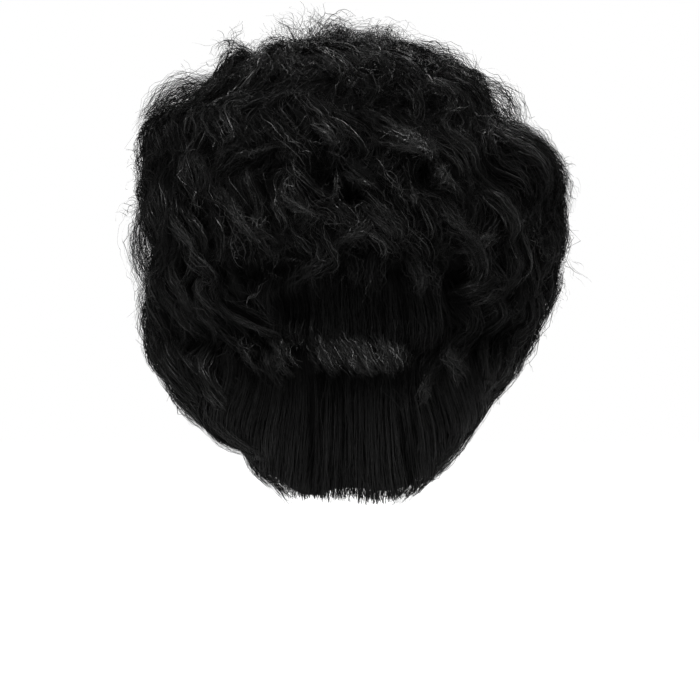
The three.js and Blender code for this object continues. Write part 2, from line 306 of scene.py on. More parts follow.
# Locks that show most from the back: where each starts and ends as seen there, mm left and up from the
# origin, how far it bows or swings to the left, in how many waves, half width and half depth, depth of
# the tip, tone, strands.
WAVE_COLUMNS = (
    "left", "up", "end_left", "end_up", "sway", "waves",
    "width", "depth", "tip", "tone", "strands",
)
# Tones are partly painted light: the brightest locks have lighter tones, a painted highlight, and the last
# five, which hang over the recess under the crown, dark ones, a painted shade.
CROWN_WAVES = [
    (101, 84, 72, 26, 10, 0.5, 6, 6, -3, 0.8, 100),
    (82, 62, 58, 26, 7, 0.5, 5, 6, -3, 0.65, 70),
    (48, 90, 24, 42, 15, 0.5, 5, 6, -3, 0.55, 80),
    (22, 96, 16, 52, -7, 0.5, 3, 4, -2, 0.6, 44),
    (10, 86, -18, 68, 0, 0.5, 4, 5, -2, 0.6, 50),
    (14, 48, 46, -10, -10, 0.5, 11, 7, 1, 0.3, 60),
    (-16, 58, 8, 22, -8, 0.5, 5, 6, -3, 0.6, 70),
    (-44, 82, -49, 52, -5, 0.5, 4, 5, -2, 0.55, 44),
    (-22, 70, -36, 22, 6, 1.0, 9, 8, 0, 0.5, 100),
    (-68, 112, -86, 58, 4, 0.5, 9, 7, -2, 0.5, 80),
    (-74, 78, -100, 26, 7, 0.5, 6, 7, -3, 0.8, 100),
    (-86, 24, -118, 26, 0, 0.5, 6, 7, -4, 0.9, 80),
    (-6, 140, -62, 90, -10, 0.5, 15, 9, -3, 0.85, 200),
    (-124, 92, -131, 14, 8, 1.0, 8, 8, 0, 0.4, 90),
    (42, 118, 92, 90, 6, 0.5, 4, 6, -2, 0.4, 56),
    (14, 136, 20, 92, 7, 1.0, 8, 6, -3, 0.8, 90),
    (58, 132, 106, 88, 9, 0.5, 4, 6, -2, 0.38, 56),
    (-62, 104, -70, 66, -6, 0.5, 5, 6, -2, 0.55, 60),
    (142, 66, 126, 8, 8, 1.0, 10, 8, 0, 0.35, 90),
    (120, 104, 132, 60, 7, 1.0, 10, 8, 0, 0.35, 90),
    (26, 28, 17, -27, 4, 0.5, 10, 5, 5, 0.26, 60),
    (2, 26, -3, -20, -4, 0.5, 10, 5, 5, 0.28, 60),
    (-22, 26, -20, -30, 3, 0.5, 10, 5, 5, 0.24, 60),
    (-46, 26, -54, -22, -4, 0.5, 10, 5, 5, 0.28, 60),
    (-66, 24, -71, -24, 3, 0.5, 9, 5, 5, 0.26, 50),
]
LEFT_WAVES = [
    (122, 2, 104, -52, 10, 0.5, 7, 8, -2, 0.35, 80),
    (98, 0, 60, -72, 14, 1.0, 7, 8, -2, 0.4, 100),
    (74, -40, 40, -60, -6, 0.5, 4, 5, 0, 0.4, 50),
    (88, -44, 72, -80, 8, 0.5, 9, 8, -4, 0.42, 120),
    (62, -50, 44, -80, 7, 0.5, 9, 8, -4, 0.42, 110),
    (122, -70, 104, -124, 7, 1.0, 9, 8, 0, 0.3, 80),
    (140, -10, 132, -70, 7, 1.0, 9, 8, 0, 0.3, 80),
]
RIGHT_WAVES = [
    (-142, 8, -90, -22, -12, 0.5, 13, 11, 3, 0.4, 160),
    (-130, -2, -100, -36, -8, 0.5, 9, 8, 3, 0.35, 90),
    (-88, -52, -96, -88, 6, 0.5, 8, 7, -3, 0.5, 100),
    (-94, -72, -56, -108, 7, 0.5, 6, 6, 0, 0.45, 80),
    (-148, -44, -126, -80, 6, 0.5, 9, 8, 0, 0.45, 80),
]
# How far locks that are placed one by one thin to the tip.
CROWN_THINNING = 0.55
SIDE_THINNING = 0.25
LEDGE_THINNING = 0.2
COMB_THINNING = 0.0

# How each group of locks is drawn: points along a strand, how wild the strands are, how far they taper,
# how many mm they lie off the hair, how far clumps are drawn together, and the share of the length from
# which painted shade darkens them towards the tip.
STYLE_COLUMNS = ("steps", "wild", "tapering", "lift", "gather", "fade")
LOCK_STYLES = {
    "crown_top": (16, 1.0, 0.65, 0, 0.3, 0.75),
    "crown_upper": (16, 1.0, 0.65, 0, 0.3, 0.75),
    "crown_lower": (16, 0.9, 0.65, 0, 0.3, 0.75),
    "crown_waves": (18, 0.8, 0.65, 3, 0.3, 0.75),
    "front": (13, 0.6, 0.65, 0, 0.3, 0.75),
    "side_left": (14, 0.75, 0.5, 0, 0.3, 0.75),
    "side_right": (14, 0.75, 0.5, 0, 0.3, 0.75),
    "nape_recess": (12, 0.5, 0.3, 0, 0.0, 0.75),
    "nape_lower": (12, 0.3, 0.1, 0, 0.0, 0.0),
    "nape_ledge": (10, 0.6, 0.6, 0, 0.3, 0.75),
}
# Strands of a lock: how many clumps there are, between which half turns round the lock they lie, spread
# of strands about their clump in radians, square of their reach as a share of the half width, spread of
# how far they stray, how far chance of the clump dims them, and how far painted shade darkens them where
# the lock rolls inwards and towards the tip.
CLUMPS_IN_LOCK = 9
CLUMP_SIDES = (-0.12, 1.12)
CLUMP_SPREAD = 0.32
STRAND_REACH = (0.45, 1.2)
STRAY_SPREAD = 0.55
CLUMP_DIMMING = 0.6
ROLL_PAINTED_SHADE = 0.35
TIP_PAINTED_SHADE = 0.6
# Waves that neighbouring locks share: height in radians, turns round the wig and shift.
PHASE_WAVES = ((2.2, 2, 0.6), (0.9, 5, 2.0))
# Ribbons of the strands: share of the width at the root, spread of the turn about their length, least and
# most width as factors, and the edge of the map that stays free.
RIBBON_ROOT = 0.45
RIBBON_TURN = 0.5
RIBBON_WIDTHS = (0.7, 1.3)
MAP_EDGE = 0.01
MAP_HALF_WIDTH = 0.003
# Points along the core of a lock and round it, and its share of the lock's length.
CORE_STEPS = 10
CORE_SIDES = 6
CORE_LENGTH = 0.8
# Seeds of the chance in each group, so that every run gives the same hair.
CROWN_SEED = 11
FRONT_SEED = 23
SIDES_SEED = 37
NAPE_SEED = 41
FRIZZ_SEED = 53

# Frizz of the crown: how many clumps of how many strands, down to which level and how many more at the
# sides, how they crowd to the top, length in mm, how far they stand out, turns and radius in mm of their
# winding, tone.
FRIZZ_COLUMNS = (
    "name", "clumps", "strands", "lowest", "more", "spread",
    "length", "stand", "turns", "radius", "tone",
)
FRIZZ_KINDS = [
    ("crimps", 1700, 3, 6.3, 2.2, 0.9, 18, 0.25, 3.2, 1.4, 0.55),
    ("curls", 190, 11, 5.5, 0.5, 1.1, 24, 1.0, 1.6, 3.0, 0.5),
]

# Loops of frizz that stand off the outline: ends as seen from the back, mm left and up, how far they bow
# out, how far they spread to the front and back, and strands in each.
LOOP_COLUMNS = ("left", "up", "end_left", "end_up", "bow", "spread", "strands")
FRIZZ_LOOPS = [
    (160, 108, 100, 142, 18, 28, 280),
    (154, 96, 112, 130, 10, 30, 180),
    (158, 44, 158, -20, 15, 26, 240),
    (98, 146, 68, 160, 12, 24, 90),
    (66, 162, 30, 168, 9, 30, 90),
    (28, 174, -4, 178, 14, 26, 110),
    (0, 176, -44, 170, 9, 34, 100),
    (-46, 168, -100, 140, 15, 28, 150),
    (-98, 144, -136, 106, 13, 26, 130),
    (-134, 106, -166, 56, 9, 24, 110),
    (-160, 10, -154, -40, 5, 22, 60),
]
# Chance of the frizz: least and most for a clump, and how far its strands stray from that as a share.
FRIZZ_CHANCE = {
    "azimuth": (-math.pi, math.pi, 0),
    "level": (0, 1, 0),
    "length": (0.5, 1.4, 0.3),
    "stand": (0, 1, 0.2),
    "turns": (0.4, 1.4, 0.1),
    "begun": (0, 1, 0),
    "radius": (0.3, 1.5, 0.35),
    "bow": (-0.25, 0.1, 0.3),
    "tone": (0, 1, 0.4),
}
# Azimuths between which frizz begins and ceases to reach farther down, at the sides, and depth of its
# roots in mm.
SIDES_BEGIN = (30, 50)
SIDES_CEASE = (110, 130)
FRIZZ_ROOT = (-1, 6)
# Points along the frizz and the loops, how far they taper, and for the loops the spread of their ends,
# their wander, least and most of their bow as a factor and most of their tone.
FRIZZ_STEPS = 13
LOOP_STEPS = 17
FRIZZ_TAPERING = 0.5
LOOP_SCATTER = 5 * MM
LOOP_WANDER = 1.6 * MM
LOOP_BOW = (0.1, 1.15)
LOOP_TONE = 0.5

# Surfaces: the shared group that colours them, the ends of its colours, its other values, roughness,
# specular level and strength of the bump. Groups with gloss put it in a coat.
SURFACE_COLUMNS = ("group", "dark", "light", "values", "roughness", "specular", "bump")
SURFACES = {
    "hair_strands": ("Strand tone", "hair_dark", "hair_light", {"Breaks": 38.0}, 0.55, 0.06, 0),
    "hair_frizz": ("Strand tone", "hair_dark", "hair_light", {"Breaks": 10.0}, 0.55, 0.06, 0),
    # Cores and masses only reach a much darker colour than the strands: painted shade of the hair's depths
    # under the strands.
    "hair_cores": (
        "Fibre streaks", "hair_dark", "hair_deep_shade", {"Across": 40.0, "Along": 2.0}, 0.7, 0.03, 0.9,
    ),
    "hair_masses": (
        "Fibre streaks", "hair_dark", "hair_deep_shade", {"Across": 420.0, "Along": 9.0}, 0.7, 0.03, 0.9,
    ),
    "cap_net": (
        "Net threads", "cap_dark", "cap_light",
        {"Threads across": 180.0, "Threads down": 90.0}, 0.8, 0.3, 0.6,
    ),
}
COAT_ROUGHNESS = 0.34
BUMP_HEIGHT = 1.0 * MM
CRIMP_ACROSS = 700.0
WHITE = (1, 1, 1, 1)


class WigSizes(bpy.types.PropertyGroup):
    """Sizes of the cap, the strands and the frizz."""

    cap_wall: FloatProperty(
        name="Cap wall", description="Thickness of the cap's net", default=1.6 * MM, unit="LENGTH"
    )
    cap_clearance: FloatProperty(
        name="Cap clearance", description="Gap from the cap to the hair", default=1.0 * MM, unit="LENGTH"
    )
    strand_width: FloatProperty(
        name="Strand width", description="Width of a strand at its widest", default=0.42 * MM, unit="LENGTH"
    )
    strand_wobble: FloatProperty(
        name="Strand wobble", description="How far a strand strays", default=1.7 * MM, unit="LENGTH"
    )
    core_share: FloatProperty(
        name="Core share", description="Size of a lock's core to the lock", default=0.66, subtype="FACTOR"
    )
    frizz_width: FloatProperty(
        name="Frizz width", description="Width of a loose curling strand", default=0.34 * MM, unit="LENGTH"
    )
    floor_drop: FloatProperty(
        name="Floor drop", description="Height of the floor under the origin", default=-0.42, unit="LENGTH"
    )


class WigColours(bpy.types.PropertyGroup):
    """Colours of the hair, the cap and the stage."""

    hair_dark: FloatVectorProperty(
        name="Hair dark", description="Darkest strands", default=(0.001, 0.001, 0.001), subtype="COLOR"
    )
    hair_light: FloatVectorProperty(
        name="Hair light", description="Lightest strands", default=(0.056, 0.056, 0.055), subtype="COLOR"
    )
    # Painted shade: the fibre under the strands is kept much darker than the strands' lightest.
    hair_deep_shade: FloatVectorProperty(
        name="Hair deep", description="Fibre below strands", default=(0.006, 0.006, 0.006), subtype="COLOR"
    )
    cap_dark: FloatVectorProperty(
        name="Cap dark", description="Holes of the net", default=(0.004, 0.004, 0.004), subtype="COLOR"
    )
    cap_light: FloatVectorProperty(
        name="Cap light", description="Threads of the net", default=(0.020, 0.020, 0.021), subtype="COLOR"
    )
    floor: FloatVectorProperty(
        name="Floor", description="Pale floor", default=(0.92, 0.92, 0.92), subtype="COLOR"
    )


def unit(vector):
    """Each vector divided by its own length."""
    length = np.linalg.norm(vector, axis=-1, keepdims=True)
    return vector / np.maximum(length, 1e-12)


def smooth(low, high, value):
    """Ease from 0 to 1 between two bounds: 3s² − 2s³ of the share s of the way, held to the bounds."""
    share = np.clip((value - low) / (high - low), 0, 1)
    return share * share * (3 - 2 * share)


def table_rows(columns, table):
    """Rows of a table as dictionaries keyed by the names of the columns."""
    return [dict(zip(columns, row)) for row in table]


def level_value(column, level):
    """Smooth curve through one column of the levels: between two rows a cubic whose slopes are half the
    difference of the rows on either side."""
    values = HAIR_LEVELS[:, LEVEL_COLUMNS.index(column)]
    index = np.clip(np.floor(level), 0, LAST_LEVEL - 1).astype(int)
    share = level - index
    before, start, end, after = (values[np.clip(index + step, 0, LAST_LEVEL)] for step in (-1, 0, 1, 2))
    slope_in = (end - before) / 2
    slope_out = (after - start) / 2
    bend = 2 * (start - end) + slope_in + slope_out
    lean = 3 * (end - start) - 2 * slope_in - slope_out
    return ((bend * share + lean) * share + slope_in) * share + start


def hair_point(azimuth, level, depth):
    """Point on the outer reach of the hair. Across a level each quadrant is a quarter ellipse: x is the
    half-width times the sine of the azimuth and y the middle plus the reach times its cosine. The point
    is then moved by the depth towards the centre of the hair."""
    azimuth, level, depth = np.broadcast_arrays(azimuth, level, depth)
    sideways = np.sin(azimuth)
    backwards = np.cos(azimuth)
    width = np.where(sideways > 0, level_value("left", level), level_value("right", level))
    middle = level_value("middle", level)
    end = np.where(backwards > 0, level_value("back", level), level_value("front", level))
    reach = np.abs(end - middle)
    height = level_value("height", level)
    point = np.stack([width * sideways, middle + reach * backwards, height], axis=-1)
    return point + unit(HAIR_CENTRE - point) * depth[..., None]


def hollow_share(point, grow):
    """Length of the way from the middle of the hollow as a share of the way to its grown surface: the
    length of the vector after each axis is divided by the half axis of the ellipsoid."""
    upright = np.where(point[..., 2] < WIDEST_HEIGHT, HOLLOW_BELOW, HOLLOW_ABOVE) + grow
    across = point[..., 0] / (HOLLOW_HALF_WIDTH + grow)
    along = point[..., 1] / (HOLLOW_HALF_LENGTH + grow)
    return np.sqrt(across**2 + along**2 + ((point[..., 2] - WIDEST_HEIGHT) / upright) ** 2)


def on_hollow(point, grow):
    """Point moved along the line from the middle of the hollow to its grown surface."""
    middle = np.array((0, 0, WIDEST_HEIGHT))
    return middle + (point - middle) / hollow_share(point, grow)[..., None]


def off_hollow(point, grow):
    """Point as it is, or on the grown surface of the hollow if it lies inside it."""
    inside = hollow_share(point, grow) < 1
    return np.where(inside[..., None], on_hollow(point, grow), point)


def hairline_level(azimuth, depth, grow):
    """Level at which the hair comes down to the cap: the first of a fine row of levels where the point at
    that depth lies inside the grown hollow, or else the last level."""
    levels = np.linspace(LOWER_LEVEL - 1, LAST_LEVEL, HAIRLINE_TRIES)
    inside = hollow_share(hair_point(azimuth[..., None], levels, depth), grow) < 1
    first = np.where(inside.any(axis=-1), inside.argmax(axis=-1), len(levels) - 1)
    return levels[first]


def seen_from_back(left, up):
    """Azimuth and level of the hair seen at a place in the plane of the widest hair. A point nearer the
    camera shows larger by the distance of the plane over its own, so the place is shrunk by that, three
    times over."""
    levels = np.linspace(0, LAST_LEVEL, PLACE_TRIES)
    heights = level_value("height", levels)
    nearness = np.ones_like(left)
    for _ in range(3):
        height = VIEW_HEIGHT + (up - VIEW_HEIGHT) * nearness
        level = np.interp(-height, -heights, levels)
        width = np.where(left > 0, level_value("left", level), level_value("right", level))
        azimuth = np.arcsin(np.clip(left * nearness / width, -FARTHEST_SINE, FARTHEST_SINE))
        behind = hair_point(azimuth, level, 0.0)[..., 1] - VIEW_PLANE
        nearness = (VIEW_DISTANCE - behind) / VIEW_DISTANCE
    return azimuth, level


def moving_frame(path):
    """Directions along, across and out of a path on the hair: the difference of its neighbours, that
    crossed with the direction from the centre of the hair, and the two crossed again."""
    along = unit(np.gradient(path, axis=-2))
    outward = unit(path - HAIR_CENTRE)
    across = unit(np.cross(along, outward))
    return along, across, np.cross(across, along)


def wave_phase(azimuth):
    """Where the waves stand round the wig: a sum of two sines of the azimuth, so that neighbours wave
    together."""
    return sum(height * np.sin(turns * azimuth + shift) for height, turns, shift in PHASE_WAVES)


def lump_depth(azimuth, level):
    """Depth of the hollows between the lumps of the crown: one less the product of two crossing waves,
    times half their depth, fading out below the crown, and a bell curve for each hollow or swell of the
    outline."""
    ripple = np.sin(6 * azimuth + 1.9 * np.sin(1.3 * level) + 0.4)
    ripple = ripple * np.sin(2.4 * level + 1.1 * np.sin(3 * azimuth) + 0.8)
    depth = LUMP_DEPTH / 2 * (1 - ripple) * (1 - smooth(6, 8, level))
    for row in table_rows(OUTLINE_COLUMNS, OUTLINE_HOLLOWS):
        turned = np.degrees(np.angle(np.exp(1j * (azimuth - math.radians(row["azimuth"])))))
        away = (turned / row["turn_spread"]) ** 2 + ((level - row["level"]) / row["level_spread"]) ** 2
        depth = depth + row["depth"] * MM * np.exp(-away)
    return depth


def pocket_share(point):
    """How deep in the pockets at the back each point lies: the depth of the hollow there in metres and
    its painted shade from 0 to 1, from flat-topped bell curves over the place where the point is seen,
    fading out to the front half."""
    nearness = (VIEW_DISTANCE - point[..., 1] + VIEW_PLANE) / VIEW_DISTANCE
    left = point[..., 0] / nearness
    up = VIEW_HEIGHT + (point[..., 2] - VIEW_HEIGHT) / nearness
    depth = 0.0
    shade = 0.0
    for row in table_rows(POCKET_COLUMNS, BACK_POCKETS):
        across = (left - row["left"] * MM) / (row["half_width"] * MM)
        along = (up - row["up"] * MM) / (row["half_height"] * MM)
        bell = np.exp(-((across**2 + along**2) ** 2))
        depth = depth + row["depth"] * MM * bell
        shade = np.maximum(shade, row["shade"] * bell)
    behind = smooth(VIEW_PLANE, VIEW_PLANE + POCKET_FADE, point[..., 1])
    return depth * behind, shade * behind


def pressed(point):
    """Point moved towards the centre of the hair by the depth of the pockets at the back."""
    depth, _ = pocket_share(point)
    return point + unit(HAIR_CENTRE - point) * depth[..., None]


def in_room(point):
    """Point held inside the box of the solids grown by a share of its sides and a margin."""
    low, high = (np.array(corner) for corner in CAD_BOX)
    margin = ROOM_SHARE * (high - low) + ROOM_MARGIN
    return np.clip(point, low - margin, high + margin)


def joined_locks(*groups):
    """Columns of several groups of locks one after the other."""
    return {key: np.concatenate([group[key] for group in groups]) for key in groups[0]}


def tier_locks(rng, tiers, tone, mirror=1):
    """Locks of evenly spread tiers as columns. Each is moved at random by a share of the space between
    neighbours and slips up or down by a share of a level, keeps above the hairline, and waves roughly in
    step with its neighbours."""
    parts = []
    for row in table_rows(TIER_COLUMNS, tiers):
        count = row["count"]
        spacing = (row["last"] - row["first"]) / count
        shift = rng.uniform(-SHIFT_CHANCE, SHIFT_CHANCE, count)
        first = row["first"] + spacing * (np.arange(count) + 0.5 + shift)
        slip = rng.uniform(-SLIP_CHANCE, SLIP_CHANCE, count)
        size = rng.uniform(*SIZE_RANGE, count)
        drift = row["drift"] * rng.uniform(*DRIFT_RANGE, count)
        lowest = hairline_level(np.radians(first), row["depth"] * MM, HAIRLINE_GAP)
        start = np.minimum(row["start"] + slip, lowest)
        end = np.minimum(row["end"] + slip, lowest + OVERHANG)
        phase = wave_phase(np.radians(first)) + 2 * math.pi * start / row["wave"]
        phase = phase + rng.normal(0, PHASE_CHANCE, count)
        parts.append(
            {
                "first": np.radians(first) * mirror,
                "last": np.radians(first + drift) * mirror,
                "bend": np.zeros(count),
                "start": start,
                "end": end,
                "width": row["width"] * size * MM,
                "depth": row["depth"] * size * MM,
                "sway": row["sway"] * rng.uniform(*SWAY_RANGE, count) * MM,
                "roll": row["sway"] * ROLL_SHARE * rng.uniform(*ROLL_RANGE, count) * MM,
                "waves": (end - start) / row["wave"],
                "phase": phase,
                "root": np.full(count, row["root"] * MM),
                "tip": (row["tip"] + rng.uniform(*TIP_RANGE, count)) * MM,
                "strands": np.full(count, row["strands"]),
                "thinning": np.full(count, row["thinning"]),
                "tone": tone * rng.uniform(*TONE_RANGE, count),
            }
        )
    return joined_locks(*parts)


def outline_height(left):
    """Height of the lower outline at a place to the left or right: straight between the widths of the
    levels."""
    lower = HAIR_LEVELS[LOWER_LEVEL:][::-1]
    heights = lower[:, LEVEL_COLUMNS.index("height")]
    to_left = np.interp(left, lower[:, LEVEL_COLUMNS.index("left")], heights)
    to_right = np.interp(-left, lower[:, LEVEL_COLUMNS.index("right")], heights)
    return np.where(left > 0, to_left, to_right)


def comb_waves(rng, combs):
    """Rows of locks for combed strips: evenly spread with a little chance, straight, each down to its end
    height or to the outline."""
    parts = []
    for row in table_rows(COMB_COLUMNS, combs):
        count = row["count"]
        spacing = abs(row["left"] - row["right"]) / (count - 1)
        shift = rng.uniform(-COMB_SHIFT, COMB_SHIFT, count)
        left = np.linspace(row["left"], row["right"], count) + spacing * shift
        end_left = left + row["lean"]
        edge = outline_height((end_left + np.sign(end_left) * row["width"] / 2) * MM)
        end_up = np.maximum(row["end_up"], edge / MM + COMB_EDGE_GAP)
        part = {
            "left": left,
            "up": row["up"] + rng.uniform(*COMB_START, count),
            "end_left": end_left,
            "end_up": end_up + rng.uniform(*COMB_END, count),
            "sway": rng.uniform(*COMB_BOW, count),
            "tone": row["tone"] * rng.uniform(*COMB_TONE, count),
        }
        for key in WAVE_COLUMNS:
            part.setdefault(key, np.full(count, row.get(key, HALF_WAVE), dtype=float))
        parts.append(np.stack([part[key] for key in WAVE_COLUMNS], axis=-1))
    return np.concatenate(parts)


def wave_locks(waves, thinning, root=WAVE_ROOT):
    """Locks of a table of places seen from the back as columns, with their ends as azimuths and levels
    and the bend that keeps them straight in that view."""
    columns = dict(zip(WAVE_COLUMNS, np.array(waves, dtype=float).T))
    first, start = seen_from_back(columns["left"] * MM, columns["up"] * MM)
    last, end = seen_from_back(columns["end_left"] * MM, columns["end_up"] * MM)
    half_left = (columns["left"] + columns["end_left"]) / 2
    half_up = (columns["up"] + columns["end_up"]) / 2
    halfway, _ = seen_from_back(half_left * MM, half_up * MM)
    locks = {key: columns[key] * MM for key in ("width", "depth", "sway", "tip")}
    locks.update({key: columns[key] for key in ("waves", "tone", "strands")})
    locks.update({"first": first, "last": last, "start": start, "end": end})
    locks["bend"] = halfway - (first + last) / 2
    locks["roll"] = np.abs(locks["sway"]) * ROLL_SHARE + LEAST_ROLL
    same = {"thinning": thinning, "phase": 0.0, "root": root}
    locks.update({key: np.full(len(waves), value) for key, value in same.items()})
    return locks


def fullness(along, thinning):
    """Size of a lock's section along it: it swells from a half at the root and thins by its own share to
    the tip."""
    return (0.5 + 0.5 * smooth(0, 0.28, along)) * (1 - thinning * smooth(0.55, 1.05, along))


def lock_path(locks, along, lift):
    """Middle of each lock at shares of its length. The level goes evenly from start to end. The azimuth
    goes from first to last with the bend added in the middle as a parabola, and swings by the sway over
    the radius times the sine of the waves. The depth is the section's own plus the root's, the tip's and
    the roll times the cosine of the waves, less the lift."""
    column = {key: value.reshape((-1,) + (1,) * (along.ndim - 1)) for key, value in locks.items()}
    level = np.clip(column["start"] + (column["end"] - column["start"]) * along, 0, LAST_LEVEL + 0.1)
    straight = column["first"] + (column["last"] - column["first"]) * along
    straight = straight + 4 * column["bend"] * along * (1 - along)
    plain = hair_point(straight, level, 0.0)
    radius = np.hypot(plain[..., 0], plain[..., 1] - HAIR_CENTRE[1])
    radius = np.maximum(radius, 2 * column["width"])
    turn = 2 * math.pi * column["waves"] * along + column["phase"]
    swing = column["sway"] / radius * np.sin(turn)
    rolled = column["roll"] * np.cos(turn)
    sunk = column["root"] * (1 - smooth(0, 0.3, along))
    tucked = column["tip"] * smooth(0.65, 1, along)
    depth = column["depth"] * fullness(along, column["thinning"]) + sunk + tucked + rolled - lift
    return hair_point(straight + swing, level, depth + lump_depth(straight, level))


def lock_cores(locks, share, lift):
    """Closed tapering tubes inside the locks: an oval ring of the lock's half width and depth times the
    share, carried along its middle, with each end drawn to a point. Returns points, triangles and their
    map."""
    steps, sides = CORE_STEPS, CORE_SIDES
    along = np.broadcast_to(np.linspace(0, CORE_LENGTH, steps), (len(locks["width"]), steps))
    centre = lock_path(locks, along, lift - CORE_DEPTH)
    _, across, outward = moving_frame(centre)
    angle = np.linspace(0, 2 * math.pi, sides, endpoint=False)
    size = (fullness(along, locks["thinning"][:, None]) * share)[..., None, None]
    width = locks["width"][:, None, None, None] * size * np.cos(angle)[:, None]
    depth = locks["depth"][:, None, None, None] * size * np.sin(angle)[:, None]
    rings = centre[:, :, None] + across[:, :, None] * width + outward[:, :, None] * depth
    count = len(rings)
    body = rings.reshape(count, steps * sides, 3)
    points = np.concatenate([body, centre[:, :1], centre[:, -1:]], axis=1)
    step, side = np.meshgrid(np.arange(steps - 1), np.arange(sides), indexing="ij")
    near = step * sides + side
    near_next = step * sides + (side + 1) % sides
    first = np.stack([near, near_next, near_next + sides], axis=-1).reshape(-1, 3)
    second = np.stack([near, near_next + sides, near + sides], axis=-1).reshape(-1, 3)
    ring = np.arange(sides)
    start = np.stack([np.full(sides, steps * sides), (ring + 1) % sides, ring], axis=-1)
    base = (steps - 1) * sides
    end = np.stack([np.full(sides, steps * sides + 1), base + ring, base + (ring + 1) % sides], axis=-1)
    one = np.concatenate([first, second, start, end])
    across_map = np.concatenate(
        [
            np.stack([side, side + 1, side + 1], axis=-1).reshape(-1, 3),
            np.stack([side, side + 1, side], axis=-1).reshape(-1, 3),
            np.stack([ring + 0.5, ring + 1, ring], axis=-1),
            np.stack([ring + 0.5, ring, ring + 1], axis=-1),
        ]
    )
    along_map = np.concatenate(
        [
            np.stack([step, step, step + 1], axis=-1).reshape(-1, 3),
            np.stack([step, step + 1, step + 1], axis=-1).reshape(-1, 3),
            np.stack([ring * 0, ring * 0 + 0.5, ring * 0 + 0.5], axis=-1),
            np.stack([ring * 0 + steps - 1, ring * 0 + steps - 1.5, ring * 0 + steps - 1.5], axis=-1),
        ]
    )
    one_map = np.stack([across_map / sides, along_map / (steps - 1)], axis=-1)
    triangles = (one[None] + (np.arange(count) * points.shape[1])[:, None, None]).reshape(-1, 3)
    uv = np.broadcast_to(one_map, (count,) + one_map.shape)
    return points.reshape(-1, 3), triangles, uv.reshape(-1, 2)


def strand_wander(rng, shape, share, wild):
    """Own wander of each strand to two sides: sines of three rising pitches, the two finer ones scaled by
    how wild the hair is, growing from a third at the root."""
    wander = 0.0
    for pitch, height in ((1.2, 0.8), (3.0, 0.8 * wild), (5.2, 0.6 * wild)):
        turns = pitch * rng.uniform(0.6, 1.4, shape + (1, 2))
        shift = rng.uniform(0, 2 * math.pi, shape + (1, 2))
        wander = wander + height * np.sin(2 * math.pi * turns * share[:, None] + shift)
    return wander * (0.35 + 0.65 * share)[:, None]


def lock_strands(rng, locks, steps, wobble, lift, wild, gather, fade):
    """Strands over the outer side of each lock. A strand keeps its angle round the lock and its share of
    the half width and depth, is drawn towards the middle of its clump as it goes down, and wanders by
    itself. Its tone is that of the lock times chance for its clump and itself: even chance in combed
    hair, a few bright strands in wild hair. Painted shade darkens strands where the lock rolls inwards
    and towards the tip. Returns paths, the directions they face and tones."""
    strands = int(locks["strands"].max())
    count = len(locks["width"])
    shape = (count, strands)
    begin = rng.uniform(0, 0.15 + 0.3 * wild, shape)
    finish = rng.uniform(1 - 0.4 * wild**2, 1.01 + 0.09 * wild, shape)
    share = np.linspace(0, 1, steps)
    along = begin[..., None] + (finish - begin)[..., None] * share
    centre = lock_path(locks, along, lift)
    _, across, outward = moving_frame(centre)
    clump = rng.integers(0, CLUMPS_IN_LOCK, shape)
    clump_angle = rng.uniform(*CLUMP_SIDES, (count, CLUMPS_IN_LOCK)) * math.pi
    chosen = np.take_along_axis(clump_angle, clump, axis=1)
    angle = chosen + rng.normal(0, CLUMP_SPREAD, shape)
    together = smooth(0.1, 1.0, along) * gather
    angle = angle[..., None] + (chosen - angle)[..., None] * together
    reach = np.sqrt(rng.uniform(*STRAND_REACH, shape))[..., None]
    size = fullness(along, locks["thinning"][:, None, None]) * reach
    stray = wobble * np.exp(rng.normal(0, STRAY_SPREAD, shape))[..., None]
    wander = strand_wander(rng, shape, share, wild)
    width = locks["width"][:, None, None] * size * np.cos(angle) + stray * wander[..., 0]
    depth = locks["depth"][:, None, None] * size * np.sin(angle) + 0.7 * stray * wander[..., 1]
    path = centre + across * width[..., None] + outward * depth[..., None]
    facing = across * np.cos(angle)[..., None] + outward * np.sin(angle)[..., None]
    chance = rng.uniform(0, 1, shape)
    clump_tone = 1 + CLUMP_DIMMING * wild * rng.uniform(-1, 1, (count, CLUMPS_IN_LOCK))
    clump_tone = np.take_along_axis(clump_tone, clump, axis=1)
    strand_tone = (1 - wild) * (0.4 + 1.2 * chance) + wild * (0.3 + 2.5 * chance**4)
    tone = clump_tone * locks["tone"][:, None] * strand_tone
    turn = 2 * math.pi * locks["waves"][:, None, None] * along + locks["phase"][:, None, None]
    # Painted shade: strands darken where the lock rolls inwards and towards the tip.
    rolls = np.minimum(1, locks["roll"] / FULL_ROLL)[:, None, None]
    rolled = 1 - ROLL_PAINTED_SHADE * rolls * (1 + np.cos(turn))
    tip_painted_shade = 1 - TIP_PAINTED_SHADE * smooth(fade, 1.05, along)
    tone = tone[..., None] * rolled * tip_painted_shade
    wanted = np.arange(strands)[None] < locks["strands"][:, None]
    return path[wanted], facing[wanted], tone[wanted]


